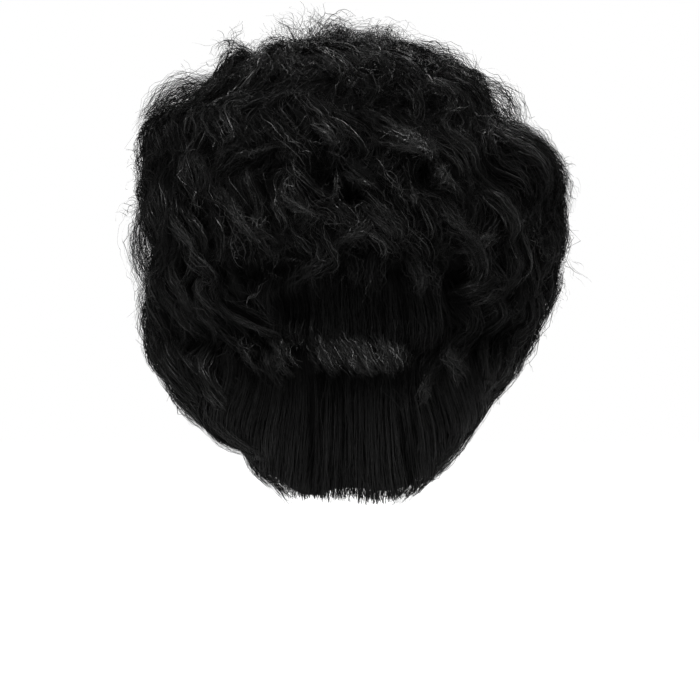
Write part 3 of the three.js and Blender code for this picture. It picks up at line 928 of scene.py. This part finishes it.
def frizz_strands(rng, kind):
    """Loose curls spread over the crown in clumps. From a point on the hair a strand runs in a direction
    at random in the surface, raised by the share it stands out, and winds round that line in a circle
    that opens along it. Strands of a clump share all of this but for a little chance."""
    clumps = kind["clumps"]
    count = clumps * kind["strands"]

    def shared(key):
        """One value at random for each clump, and its strands' own times one more or less the stray."""
        low, high, stray = FRIZZ_CHANCE[key]
        value = np.repeat(rng.uniform(low, high, clumps), kind["strands"])
        return value * (1 + stray * rng.uniform(-1, 1, count))

    azimuth = shared("azimuth") + rng.normal(0, 0.015, count)
    turned = np.abs(np.degrees(azimuth))
    beside = smooth(*SIDES_BEGIN, turned) * (1 - smooth(*SIDES_CEASE, turned))
    level = (kind["lowest"] + kind["more"] * beside) * shared("level") ** kind["spread"]
    level = np.abs(level + rng.normal(0, 0.05, count))
    length = kind["length"] * MM * shared("length")
    start = hair_point(azimuth, level, rng.uniform(*FRIZZ_ROOT, count) * MM + lump_depth(azimuth, level))
    start = pressed(start)
    outward = unit(start - HAIR_CENTRE)
    heading = np.repeat(unit(rng.normal(0, 1, (clumps, 3))), kind["strands"], axis=0)
    heading = heading + rng.normal(0, 0.22, (count, 3))
    flat = unit(heading - outward * np.sum(heading * outward, axis=-1, keepdims=True))
    raised = unit(flat + outward * (kind["stand"] * shared("stand"))[:, None])
    side = unit(np.cross(raised, outward))
    over = np.cross(side, raised)
    share = np.linspace(0, 1, FRIZZ_STEPS)
    turns = kind["turns"] * shared("turns")
    begun = shared("begun") + rng.normal(0, 0.06, count)
    wound = 2 * math.pi * (turns[:, None] * share + begun[:, None])
    radius = (kind["radius"] * MM * shared("radius"))[:, None] * (0.4 + 0.6 * share)
    bow = (length * shared("bow"))[:, None] * share**2
    path = (
        start[:, None]
        + raised[:, None] * (length[:, None] * share)[..., None]
        + side[:, None] * (radius * np.cos(wound))[..., None]
        + over[:, None] * (radius * np.sin(wound))[..., None]
        + outward[:, None] * bow[..., None]
    )
    facing = np.broadcast_to(outward[:, None], path.shape)
    return path, facing, (kind["tone"] * shared("tone") ** 1.5)[:, None]


def loop_strands(rng, loops):
    """Strands that leave the outline and come back to it. From the first end to the second a strand runs
    straight, bows out by the sine of half a turn, keeps its own place to the front or back, and wanders
    by itself."""
    rows = np.repeat(np.array(loops, dtype=float), [row[-1] for row in loops], axis=0)
    column = dict(zip(LOOP_COLUMNS, rows.T))
    count = len(rows)
    share = np.linspace(0, 1, LOOP_STEPS)
    reach = rng.normal(0, 1, (count, 2, 2)) * LOOP_SCATTER
    first = np.stack([column["left"], column["up"]], axis=-1) * MM + reach[:, 0]
    last = np.stack([column["end_left"], column["end_up"]], axis=-1) * MM + reach[:, 1]
    flat = first[:, None] + (last - first)[:, None] * share[:, None]
    away = unit(flat - HAIR_CENTRE[[0, 2]])
    bow = column["bow"] * MM * rng.uniform(*LOOP_BOW, count)
    flat = flat + away * (bow[:, None] * np.sin(math.pi * share))[..., None]
    behind = HAIR_CENTRE[1] + column["spread"] * MM * rng.normal(0, 1, count)
    wander = strand_wander(rng, (count,), share, 1.0) * LOOP_WANDER
    path = np.stack(
        [
            flat[..., 0] + wander[..., 0],
            behind[:, None] + 2 * wander[..., 1],
            flat[..., 1] + wander[..., 1],
        ],
        axis=-1,
    )
    return path, unit(path - HAIR_CENTRE), rng.uniform(0, LOOP_TONE, (count, 1))


def strand_ribbons(rng, path, facing, tone, width, tapering):
    """Strands as flat ribbons, each turned at random about its own length, thinner at the root and
    tapering by a share of its width to the tip. The map's first value is the tone, darkened by the painted
    shade of the pockets, the second goes along it."""
    # Painted shade: tone darkened in the pockets at the back, in the recess under the crown and under the
    # ledge.
    _, shade = pocket_share(path)
    tone = np.clip(tone * (1 - shade), 0, 1)
    path = in_room(path)
    count, steps, _ = path.shape
    along = unit(np.gradient(path, axis=1))
    side = unit(np.cross(along, facing))
    front = np.cross(side, along)
    roll = rng.normal(0, RIBBON_TURN, (count, 1, 1))
    turned = side * np.cos(roll) + front * np.sin(roll)
    share = np.linspace(0, 1, steps)
    taper = RIBBON_ROOT + (1 - RIBBON_ROOT) * smooth(0, 0.25, share)
    taper = taper * (1 - tapering * smooth(0.6, 1, share))
    half = (width * rng.uniform(*RIBBON_WIDTHS, count))[:, None, None] * taper[:, None] / 2
    edges = np.array((-1.0, 1.0))
    points = path[:, :, None] + turned[:, :, None] * (half * edges)[..., None]
    near = np.arange(steps - 1) * 2
    one = np.stack([near, near + 1, near + 3, near + 2], axis=-1)
    faces = (one[None] + (np.arange(count) * steps * 2)[:, None, None]).reshape(-1, 4)
    tone = np.broadcast_to(tone, (count, steps))
    start, end = tone[:, :-1], tone[:, 1:]
    tone_map = MAP_EDGE + (1 - 2 * MAP_EDGE) * np.stack([start, start, end, end], axis=-1)
    tone_map = tone_map + MAP_HALF_WIDTH * np.array((-1, 1, 1, -1))
    step = np.arange(steps - 1)
    step_map = np.stack([step, step, step + 1, step + 1], axis=-1) / (steps - 1)
    uv = np.stack(np.broadcast_arrays(np.clip(tone_map, 0, 1), step_map), axis=-1)
    return points.reshape(-1, 3), faces, uv.reshape(-1, 2)


def closed_patch(outside, inside):
    """Closed shell between two grids of points that share their rows and columns: both grids as faces and
    a wall round their edges. The map goes once over rows and columns."""
    rows, columns, _ = outside.shape
    row, column = np.meshgrid(np.arange(rows - 1), np.arange(columns - 1), indexing="ij")
    corner_rows = np.stack([row, row + 1, row + 1, row], axis=-1).reshape(-1, 4)
    corner_columns = np.stack([column, column, column + 1, column + 1], axis=-1).reshape(-1, 4)
    outer = corner_rows * columns + corner_columns
    inner = outer[:, ::-1] + rows * columns
    edge = np.concatenate(
        [
            np.arange(columns - 1),
            (np.arange(rows - 1) + 1) * columns - 1,
            rows * columns - 1 - np.arange(columns - 1),
            (rows - 1 - np.arange(rows - 1)) * columns,
        ]
    )
    following = np.roll(edge, -1)
    wall = np.stack([edge, following, following + rows * columns, edge + rows * columns], axis=-1)
    faces = np.concatenate([outer, inner, wall])
    place = faces % (rows * columns)
    uv = np.stack([place % columns / (columns - 1), place // columns / (rows - 1)], axis=-1)
    wall_start = len(outer) + len(inner)
    uv[wall_start:, 2:] = uv[wall_start:, 1::-1] * (1 - 2 * MAP_EDGE) + MAP_EDGE
    points = np.concatenate([outside.reshape(-1, 3), inside.reshape(-1, 3)])
    return points, faces, uv.reshape(-1, 2)


def add_piece(name, points, faces, uv, surface, nodes):
    """Smooth mesh of one piece, which rides on the wig's body and stands for the named solids."""
    mesh = bpy.data.meshes.new(name)
    mesh.vertices.add(len(points))
    mesh.vertices.foreach_set("co", np.ascontiguousarray(points, dtype=np.float32).ravel())
    mesh.loops.add(faces.size)
    mesh.polygons.add(len(faces))
    mesh.polygons.foreach_set("loop_start", np.arange(len(faces), dtype=np.int32) * faces.shape[1])
    mesh.polygons.foreach_set("vertices", np.ascontiguousarray(faces, dtype=np.int32).ravel())
    mesh.polygons.foreach_set("use_smooth", np.ones(len(faces), dtype=bool))
    layer = mesh.uv_layers.new(name=UV_NAME)
    layer.uv.foreach_set("vector", np.ascontiguousarray(uv, dtype=np.float32).ravel())
    mesh.update(calc_edges=True)
    if mesh.validate():
        raise RuntimeError(f"{name} has faces that can't be drawn")
    mesh.materials.append(surface)
    piece = bpy.data.objects.new(name, mesh)
    bpy.context.collection.objects.link(piece)
    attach(piece, "root")
    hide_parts(*nodes)
    return piece


def shader_node(tree, kind, inputs, **settings):
    """Node of a kind with its settings. Each input is linked to a socket or set to a value."""
    node = tree.nodes.new(kind)
    for key, value in settings.items():
        setattr(node, key, value)
    for key, value in inputs.items():
        if isinstance(value, bpy.types.NodeSocket):
            tree.links.new(value, node.inputs[key])
        else:
            node.inputs[key].default_value = value
    return node


def math_node(tree, operation, *values):
    """Result of a maths node of sockets or numbers."""
    return shader_node(tree, "ShaderNodeMath", dict(enumerate(values)), operation=operation).outputs[0]


def colour_mix(tree, share, first, second):
    """Result of a mix of two colours by a share. The node has its colours after its numbers and
    vectors."""
    inputs = {"Factor": share, 6: first, 7: second}
    return shader_node(tree, "ShaderNodeMix", inputs, data_type="RGBA").outputs[2]


def new_group(name, numbers, output):
    """Empty shader node group with a dark and a light colour and the named numbers as inputs, a colour
    and one more value as outputs. Returns it with the sockets of its two ends and the map."""
    group = bpy.data.node_groups.new(name, "ShaderNodeTree")
    sockets = [("Dark", "INPUT", "Color"), ("Light", "INPUT", "Color")]
    sockets += [(label, "INPUT", "Float") for label in numbers]
    sockets += [("Colour", "OUTPUT", "Color"), (output, "OUTPUT", "Float")]
    for label, way, kind in sockets:
        group.interface.new_socket(label, in_out=way, socket_type="NodeSocket" + kind)
    source = group.nodes.new("NodeGroupInput").outputs
    result = group.nodes.new("NodeGroupOutput").inputs
    place = shader_node(group, "ShaderNodeUVMap", {}, uv_map=UV_NAME).outputs["UV"]
    return group, source, result, place


def map_noise(tree, place, across, along, values):
    """Noise over the map, which is first drawn out by a scale across and along it."""
    scale = shader_node(tree, "ShaderNodeCombineXYZ", {"X": across, "Y": along}).outputs["Vector"]
    drawn = shader_node(tree, "ShaderNodeVectorMath", {0: place, 1: scale}, operation="MULTIPLY")
    inputs = {"Vector": drawn.outputs["Vector"], "Scale": 1.0, **values}
    return shader_node(tree, "ShaderNodeTexNoise", inputs).outputs["Fac"]


def finish_group(group, source, result, share, label):
    """Ends of a group: the share mixes its dark and light colours and is put out under the label."""
    group.links.new(colour_mix(group, share, source["Dark"], source["Light"]), result["Colour"])
    group.links.new(share, result[label])
    return group


def strand_tone_group(name):
    """Group for strands: the map's first value is the strand's tone between the dark and light colours,
    darker near the root along the second. Lighter strands have more gloss, broken along them by noise as
    crimped fibre is."""
    group, source, result, place = new_group(name, ["Breaks"], "Gloss")
    parts = shader_node(group, "ShaderNodeSeparateXYZ", {0: place}).outputs
    rooted = {"Value": parts["Y"], "From Max": 0.5, "To Min": 0.35}
    root = shader_node(group, "ShaderNodeMapRange", rooted, interpolation_type="SMOOTHSTEP")
    tone = math_node(group, "MULTIPLY", parts["X"], root.outputs["Result"])
    noise = map_noise(group, place, CRIMP_ACROSS, source["Breaks"], {"Detail": 1.0})
    bounds = {"Value": noise, "From Min": 0.36, "From Max": 0.66, "To Min": 0.15, "To Max": 1.7}
    broken = shader_node(group, "ShaderNodeMapRange", bounds, interpolation_type="SMOOTHSTEP")
    shine = math_node(group, "MULTIPLY", tone, broken.outputs["Result"])
    return finish_group(group, source, result, shine, "Gloss")


def fibre_streak_group(name):
    """Group for the masses and cores: streaks along the hair from noise drawn out along the map's second
    value."""
    group, source, result, place = new_group(name, ["Across", "Along"], "Height")
    values = {"Detail": 4.0, "Roughness": 0.6}
    streak = map_noise(group, place, source["Across"], source["Along"], values)
    return finish_group(group, source, result, streak, "Height")


def net_thread_group(name):
    """Group for the cap: crossing threads from the larger of two sine waves over the map."""
    group, source, result, place = new_group(name, ["Threads across", "Threads down"], "Height")
    parts = shader_node(group, "ShaderNodeSeparateXYZ", {0: place}).outputs
    waves = []
    for axis, label in (("X", "Threads across"), ("Y", "Threads down")):
        count = math_node(group, "MULTIPLY", parts[axis], source[label])
        angle = math_node(group, "MULTIPLY", count, 2 * math.pi)
        waves.append(math_node(group, "SINE", angle))
    thread = math_node(group, "MAXIMUM", *waves)
    share = math_node(group, "MULTIPLY_ADD", thread, 0.5, 0.5)
    return finish_group(group, source, result, share, "Height")


# Shared groups by name, each made once.
GROUPS = {
    "Strand tone": strand_tone_group,
    "Fibre streaks": fibre_streak_group,
    "Net threads": net_thread_group,
}


def opaque(colour):
    """Colour of three values with full opacity."""
    return (*colour, 1.0)


def surface_material(name, colours):
    """Principled material of a name in the table of surfaces, made once. Its colour, and its gloss or
    bump where it has them, come from a shared group that is made once and placed here with the surface's
    own values."""
    found = bpy.data.materials.get(name)
    if found:
        return found
    surface = dict(zip(SURFACE_COLUMNS, SURFACES[name]))
    material = bpy.data.materials.new(name)
    material.use_nodes = True
    tree = material.node_tree
    shader = tree.nodes["Principled BSDF"]
    shader.inputs["Roughness"].default_value = surface["roughness"]
    shader.inputs["Specular IOR Level"].default_value = surface["specular"]
    label = surface["group"]
    shared = bpy.data.node_groups.get(label) or GROUPS[label](label)
    dark = opaque(getattr(colours, surface["dark"]))
    light = opaque(getattr(colours, surface["light"]))
    values = {"Dark": dark, "Light": light, **surface["values"]}
    group = shader_node(tree, "ShaderNodeGroup", values, node_tree=shared)
    tree.links.new(group.outputs["Colour"], shader.inputs["Base Color"])
    if "Gloss" in group.outputs:
        tree.links.new(group.outputs["Gloss"], shader.inputs["Coat Weight"])
        shader.inputs["Coat Roughness"].default_value = COAT_ROUGHNESS
    if surface["bump"]:
        height = group.outputs["Height"]
        inputs = {"Strength": surface["bump"], "Distance": BUMP_HEIGHT, "Height": height}
        relief = shader_node(tree, "ShaderNodeBump", inputs)
        tree.links.new(relief.outputs["Normal"], shader.inputs["Normal"])
    return material


def add_locks(context, name, rng, locks, node):
    """Cores and strands of a group of locks as two pieces, pressed into the pockets and kept off the
    cap."""
    sizes = context.scene.wig_sizes
    colours = context.scene.wig_colours
    style = dict(zip(STYLE_COLUMNS, LOCK_STYLES[name]))
    lift = style["lift"] * MM
    wild = style["wild"]
    clear = sizes.cap_wall + sizes.cap_clearance
    points, faces, uv = lock_cores(locks, sizes.core_share, lift)
    points = off_hollow(pressed(points), clear)
    surface = surface_material("hair_cores", colours)
    add_piece(f"{name}_cores", points, faces, uv, surface, [node])
    wobble = sizes.strand_wobble * (0.25 + wild)
    strands = lock_strands(rng, locks, style["steps"], wobble, lift, wild, style["gather"], style["fade"])
    path, facing, tone = strands
    path = off_hollow(pressed(path), clear)
    points, faces, uv = strand_ribbons(rng, path, facing, tone, sizes.strand_width, style["tapering"])
    surface = surface_material("hair_strands", colours)
    add_piece(f"{name}_strands", points, faces, uv, surface, [node])


class WIG_OT_cap(bpy.types.Operator):
    """Builds the net cap: a closed wall over its hollow down to the edge"""

    bl_idname = "wig.cap"
    bl_label = "Net cap"

    def execute(self, context):
        """Height of the rim by azimuth eases between the rows of its table. The polar angle goes evenly
        from the top to the rim. Points over the hollow and over the hollow grown by the wall close to a
        shell."""
        sizes = context.scene.wig_sizes
        azimuth = np.linspace(-math.pi, math.pi, CAP_COLUMNS)
        turned = np.abs(np.degrees(azimuth))
        index = np.clip(np.searchsorted(CAP_RIM[:, 0], turned), 1, len(CAP_RIM) - 1)
        low, high = CAP_RIM[index - 1], CAP_RIM[index]
        eased = smooth(low[:, 0], high[:, 0], turned)
        rim = (low[:, 1] + (high[:, 1] - low[:, 1]) * eased) * MM - WIDEST_HEIGHT
        deepest = np.arccos(rim / np.where(rim > 0, HOLLOW_ABOVE, HOLLOW_BELOW))
        polar = deepest * np.linspace(CAP_TOP_SHARE, 1, CAP_ROWS)[:, None]

        def wall(grow):
            """Points on the grown hollow: half an ellipsoid above its widest height and another below."""
            upright = np.where(np.cos(polar) > 0, HOLLOW_ABOVE, HOLLOW_BELOW) + grow
            x = (HOLLOW_HALF_WIDTH + grow) * np.sin(polar) * np.sin(azimuth)
            y = (HOLLOW_HALF_LENGTH + grow) * np.sin(polar) * np.cos(azimuth)
            return np.stack([x, y, WIDEST_HEIGHT + upright * np.cos(polar)], axis=-1)

        points, faces, uv = closed_patch(wall(0.0), wall(sizes.cap_wall))
        surface = surface_material("cap_net", context.scene.wig_colours)
        add_piece("net_cap", points, faces, uv, surface, ["wig_cap"])
        return {"FINISHED"}


class WIG_OT_masses(bpy.types.Operator):
    """Builds the dense mass under the locks of each section"""

    bl_idname = "wig.masses"
    bl_label = "Hair masses"

    def execute(self, context):
        """Grid over the azimuths and levels of each section, at its depth under the outer reach and
        easing to the depth of its lower edge, closed against the cap by the same points moved onto it."""
        sizes = context.scene.wig_sizes
        surface = surface_material("hair_masses", context.scene.wig_colours)
        clear = sizes.cap_wall + sizes.cap_clearance
        for row in table_rows(MASS_COLUMNS, HAIR_MASSES):
            azimuth = np.radians(np.linspace(row["first"], row["last"], MASS_GRID_COLUMNS))
            lowest = hairline_level(azimuth, row["edge"] * MM, clear + MASS_EDGE_GAP)
            bottom = np.minimum(lowest, row["bottom"])
            down = np.linspace(0, 1, MASS_GRID_ROWS)[:, None]
            level = row["top"] + (bottom - row["top"]) * down
            depth = row["depth"] + (row["edge"] - row["depth"]) * smooth(0.6, 1, down)
            outside = hair_point(azimuth, level, depth * MM + lump_depth(azimuth, level))
            outside = off_hollow(pressed(outside), clear + MASS_LEAST)
            points, faces, uv = closed_patch(outside, on_hollow(outside, clear))
            add_piece(f"{row['node']}_mass", points, faces, uv, surface, [row["node"]])
        return {"FINISHED"}


class WIG_OT_crown(bpy.types.Operator):
    """Builds the waved locks of the crown"""

    bl_idname = "wig.crown"
    bl_label = "Crown locks"

    def execute(self, context):
        """Tiers laid by rule from the top down, then the locks that are placed one by one."""
        rng = np.random.default_rng(CROWN_SEED)
        add_locks(context, "crown_top", rng, tier_locks(rng, CROWN_TOP, TOP_TONE), "crown_hair")
        add_locks(context, "crown_upper", rng, tier_locks(rng, CROWN_UPPER, UPPER_TONE), "crown_hair")
        add_locks(context, "crown_lower", rng, tier_locks(rng, CROWN_LOWER, LOWER_TONE), "crown_hair")
        add_locks(context, "crown_waves", rng, wave_locks(CROWN_WAVES, CROWN_THINNING), "crown_hair")
        return {"FINISHED"}


class WIG_OT_front(bpy.types.Operator):
    """Builds the front locks, swept up and back from the hairline"""

    bl_idname = "wig.front"
    bl_label = "Front locks"

    def execute(self, context):
        """Tiers laid by rule."""
        rng = np.random.default_rng(FRONT_SEED)
        add_locks(context, "front", rng, tier_locks(rng, FRONT_LOCKS, FRONT_TONE), "front_hair")
        return {"FINISHED"}


class WIG_OT_sides(bpy.types.Operator):
    """Builds the waved locks of both sides"""

    bl_idname = "wig.sides"
    bl_label = "Side locks"

    def execute(self, context):
        """Tiers laid by rule, mirrored for the right, each with locks that are placed one by one."""
        rng = np.random.default_rng(SIDES_SEED)
        left = tier_locks(rng, SIDE_LOCKS, SIDE_TONE)
        left = joined_locks(left, wave_locks(LEFT_WAVES, SIDE_THINNING))
        right = tier_locks(rng, SIDE_LOCKS, SIDE_TONE, mirror=-1)
        right = joined_locks(right, wave_locks(RIGHT_WAVES, SIDE_THINNING))
        add_locks(context, "side_left", rng, left, "side_hair_left")
        add_locks(context, "side_right", rng, right, "side_hair_right")
        return {"FINISHED"}


class WIG_OT_nape(bpy.types.Operator):
    """Builds the combed strips of the nape"""

    bl_idname = "wig.nape"
    bl_label = "Nape strips"

    def execute(self, context):
        """Strips of the recess, of the nape and of the ledge, one after the other."""
        rng = np.random.default_rng(NAPE_SEED)
        recess = wave_locks(comb_waves(rng, RECESS_COMBS), COMB_THINNING, RECESS_ROOT)
        add_locks(context, "nape_recess", rng, recess, "nape_hair")
        lower = wave_locks(comb_waves(rng, LOWER_COMBS), COMB_THINNING)
        add_locks(context, "nape_lower", rng, lower, "nape_hair")
        ledge = wave_locks(comb_waves(rng, LEDGE_COMBS), LEDGE_THINNING)
        add_locks(context, "nape_ledge", rng, ledge, "nape_hair")
        return {"FINISHED"}


class WIG_OT_frizz(bpy.types.Operator):
    """Builds the loose frizz over the crown"""

    bl_idname = "wig.frizz"
    bl_label = "Frizz"

    def execute(self, context):
        """Crimps and curls over the crown, then the loops that stand off its outline."""
        sizes = context.scene.wig_sizes
        rng = np.random.default_rng(FRIZZ_SEED)
        surface = surface_material("hair_frizz", context.scene.wig_colours)
        for kind in table_rows(FRIZZ_COLUMNS, FRIZZ_KINDS):
            strands = frizz_strands(rng, kind)
            points, faces, uv = strand_ribbons(rng, *strands, sizes.frizz_width, FRIZZ_TAPERING)
            add_piece(f"crown_{kind['name']}", points, faces, uv, surface, ["crown_hair"])
        strands = loop_strands(rng, FRIZZ_LOOPS)
        points, faces, uv = strand_ribbons(rng, *strands, sizes.strand_width, FRIZZ_TAPERING)
        add_piece("crown_loops", points, faces, uv, surface, ["crown_hair"])
        return {"FINISHED"}


def add_lamp(name, place, target, width, power):
    """Round soft lamp at a place, turned to a target."""
    lamp = bpy.data.lights.new(name, "AREA")
    lamp.shape = "DISK"
    lamp.size = width
    lamp.energy = power
    holder = bpy.data.objects.new(name, lamp)
    holder.location = place
    holder.rotation_euler = (Vector(target) - Vector(place)).to_track_quat("-Z", "Y").to_euler()
    bpy.context.collection.objects.link(holder)


def camera_share(tree, shown, glow):
    """Strength that is the glow to the light and more by what is shown to the camera."""
    seen = shader_node(tree, "ShaderNodeLightPath", {}).outputs["Is Camera Ray"]
    return math_node(tree, "MULTIPLY_ADD", seen, shown, glow)


class WIG_OT_stage(bpy.types.Operator):
    """Builds the pale floor, the soft lamps, the sky and the camera"""

    bl_idname = "wig.stage"
    bl_label = "Stage"

    def execute(self, context):
        """Floor and sky show brighter to the camera than they light. The lens is the sensor's width times
        the camera's distance over the width it sees."""
        sizes = context.scene.wig_sizes
        colours = context.scene.wig_colours
        half = FLOOR_HALF
        mesh = bpy.data.meshes.new("floor")
        corners = [(-half, -half), (half, -half), (half, half), (-half, half)]
        mesh.from_pydata([(x, y, sizes.floor_drop) for x, y in corners], [], [(0, 1, 2, 3)])
        floor = bpy.data.objects.new("floor", mesh)
        context.collection.objects.link(floor)
        paint = bpy.data.materials.new("floor_paint")
        paint.use_nodes = True
        tree = paint.node_tree
        shader = tree.nodes["Principled BSDF"]
        shader.inputs["Base Color"].default_value = opaque(colours.floor)
        shader.inputs["Roughness"].default_value = 0.9
        shader.inputs["Emission Color"].default_value = WHITE
        tree.links.new(camera_share(tree, FLOOR_SHOWN, FLOOR_GLOW), shader.inputs["Emission Strength"])
        mesh.materials.append(paint)
        for row in table_rows(LAMP_COLUMNS, LAMPS):
            add_lamp(**row)
        world = bpy.data.worlds.new("sky")
        world.use_nodes = True
        tree = world.node_tree
        sky = tree.nodes["Background"]
        sky.inputs["Color"].default_value = WHITE
        tree.links.new(camera_share(tree, SKY_SHOWN, SKY_GLOW), sky.inputs["Strength"])
        context.scene.world = world
        context.scene.view_settings.view_transform = "Standard"
        lens = bpy.data.cameras.new("camera")
        lens.sensor_width = SENSOR_WIDTH
        lens.lens = lens.sensor_width * VIEW_DISTANCE / VIEW_WIDTH
        camera = bpy.data.objects.new("camera", lens)
        tilt = math.radians(VIEW_ELEVATION)
        target = Vector((0, VIEW_PLANE, VIEW_HEIGHT))
        camera.location = target + VIEW_DISTANCE * Vector((0, math.cos(tilt), math.sin(tilt)))
        camera.rotation_euler = (math.pi / 2 - tilt, 0, math.pi)
        context.collection.objects.link(camera)
        context.scene.camera = camera
        return {"FINISHED"}


class WIG_PT_panel(bpy.types.Panel):
    """Buttons for the pieces of the wig"""

    bl_idname = "WIG_PT_panel"
    bl_label = "Wig"
    bl_space_type = "VIEW_3D"
    bl_region_type = "UI"
    bl_category = "Wig"

    def draw(self, context):
        """One button for each step, then every setting."""
        for step in STEPS:
            self.layout.operator(step.bl_idname)
        for group in (context.scene.wig_sizes, context.scene.wig_colours):
            for name in group.__annotations__:
                self.layout.prop(group, name)


STEPS = (
    WIG_OT_cap,
    WIG_OT_masses,
    WIG_OT_crown,
    WIG_OT_front,
    WIG_OT_sides,
    WIG_OT_nape,
    WIG_OT_frizz,
    WIG_OT_stage,
)
CLASSES = (WigSizes, WigColours, *STEPS, WIG_PT_panel)


def register():
    """Makes the classes and the scene's settings known."""
    for item in CLASSES:
        bpy.utils.register_class(item)
    bpy.types.Scene.wig_sizes = PointerProperty(type=WigSizes)
    bpy.types.Scene.wig_colours = PointerProperty(type=WigColours)


def unregister():
    """Takes the settings and the classes away again."""
    del bpy.types.Scene.wig_colours
    del bpy.types.Scene.wig_sizes
    for item in reversed(CLASSES):
        bpy.utils.unregister_class(item)


def main():
    """Builds the wig piece by piece."""
    register()
    bpy.ops.wig.cap()
    bpy.ops.wig.masses()
    bpy.ops.wig.crown()
    bpy.ops.wig.front()
    bpy.ops.wig.sides()
    bpy.ops.wig.nape()
    bpy.ops.wig.frizz()
    bpy.ops.wig.stage()


if __name__ == "__main__":
    main()
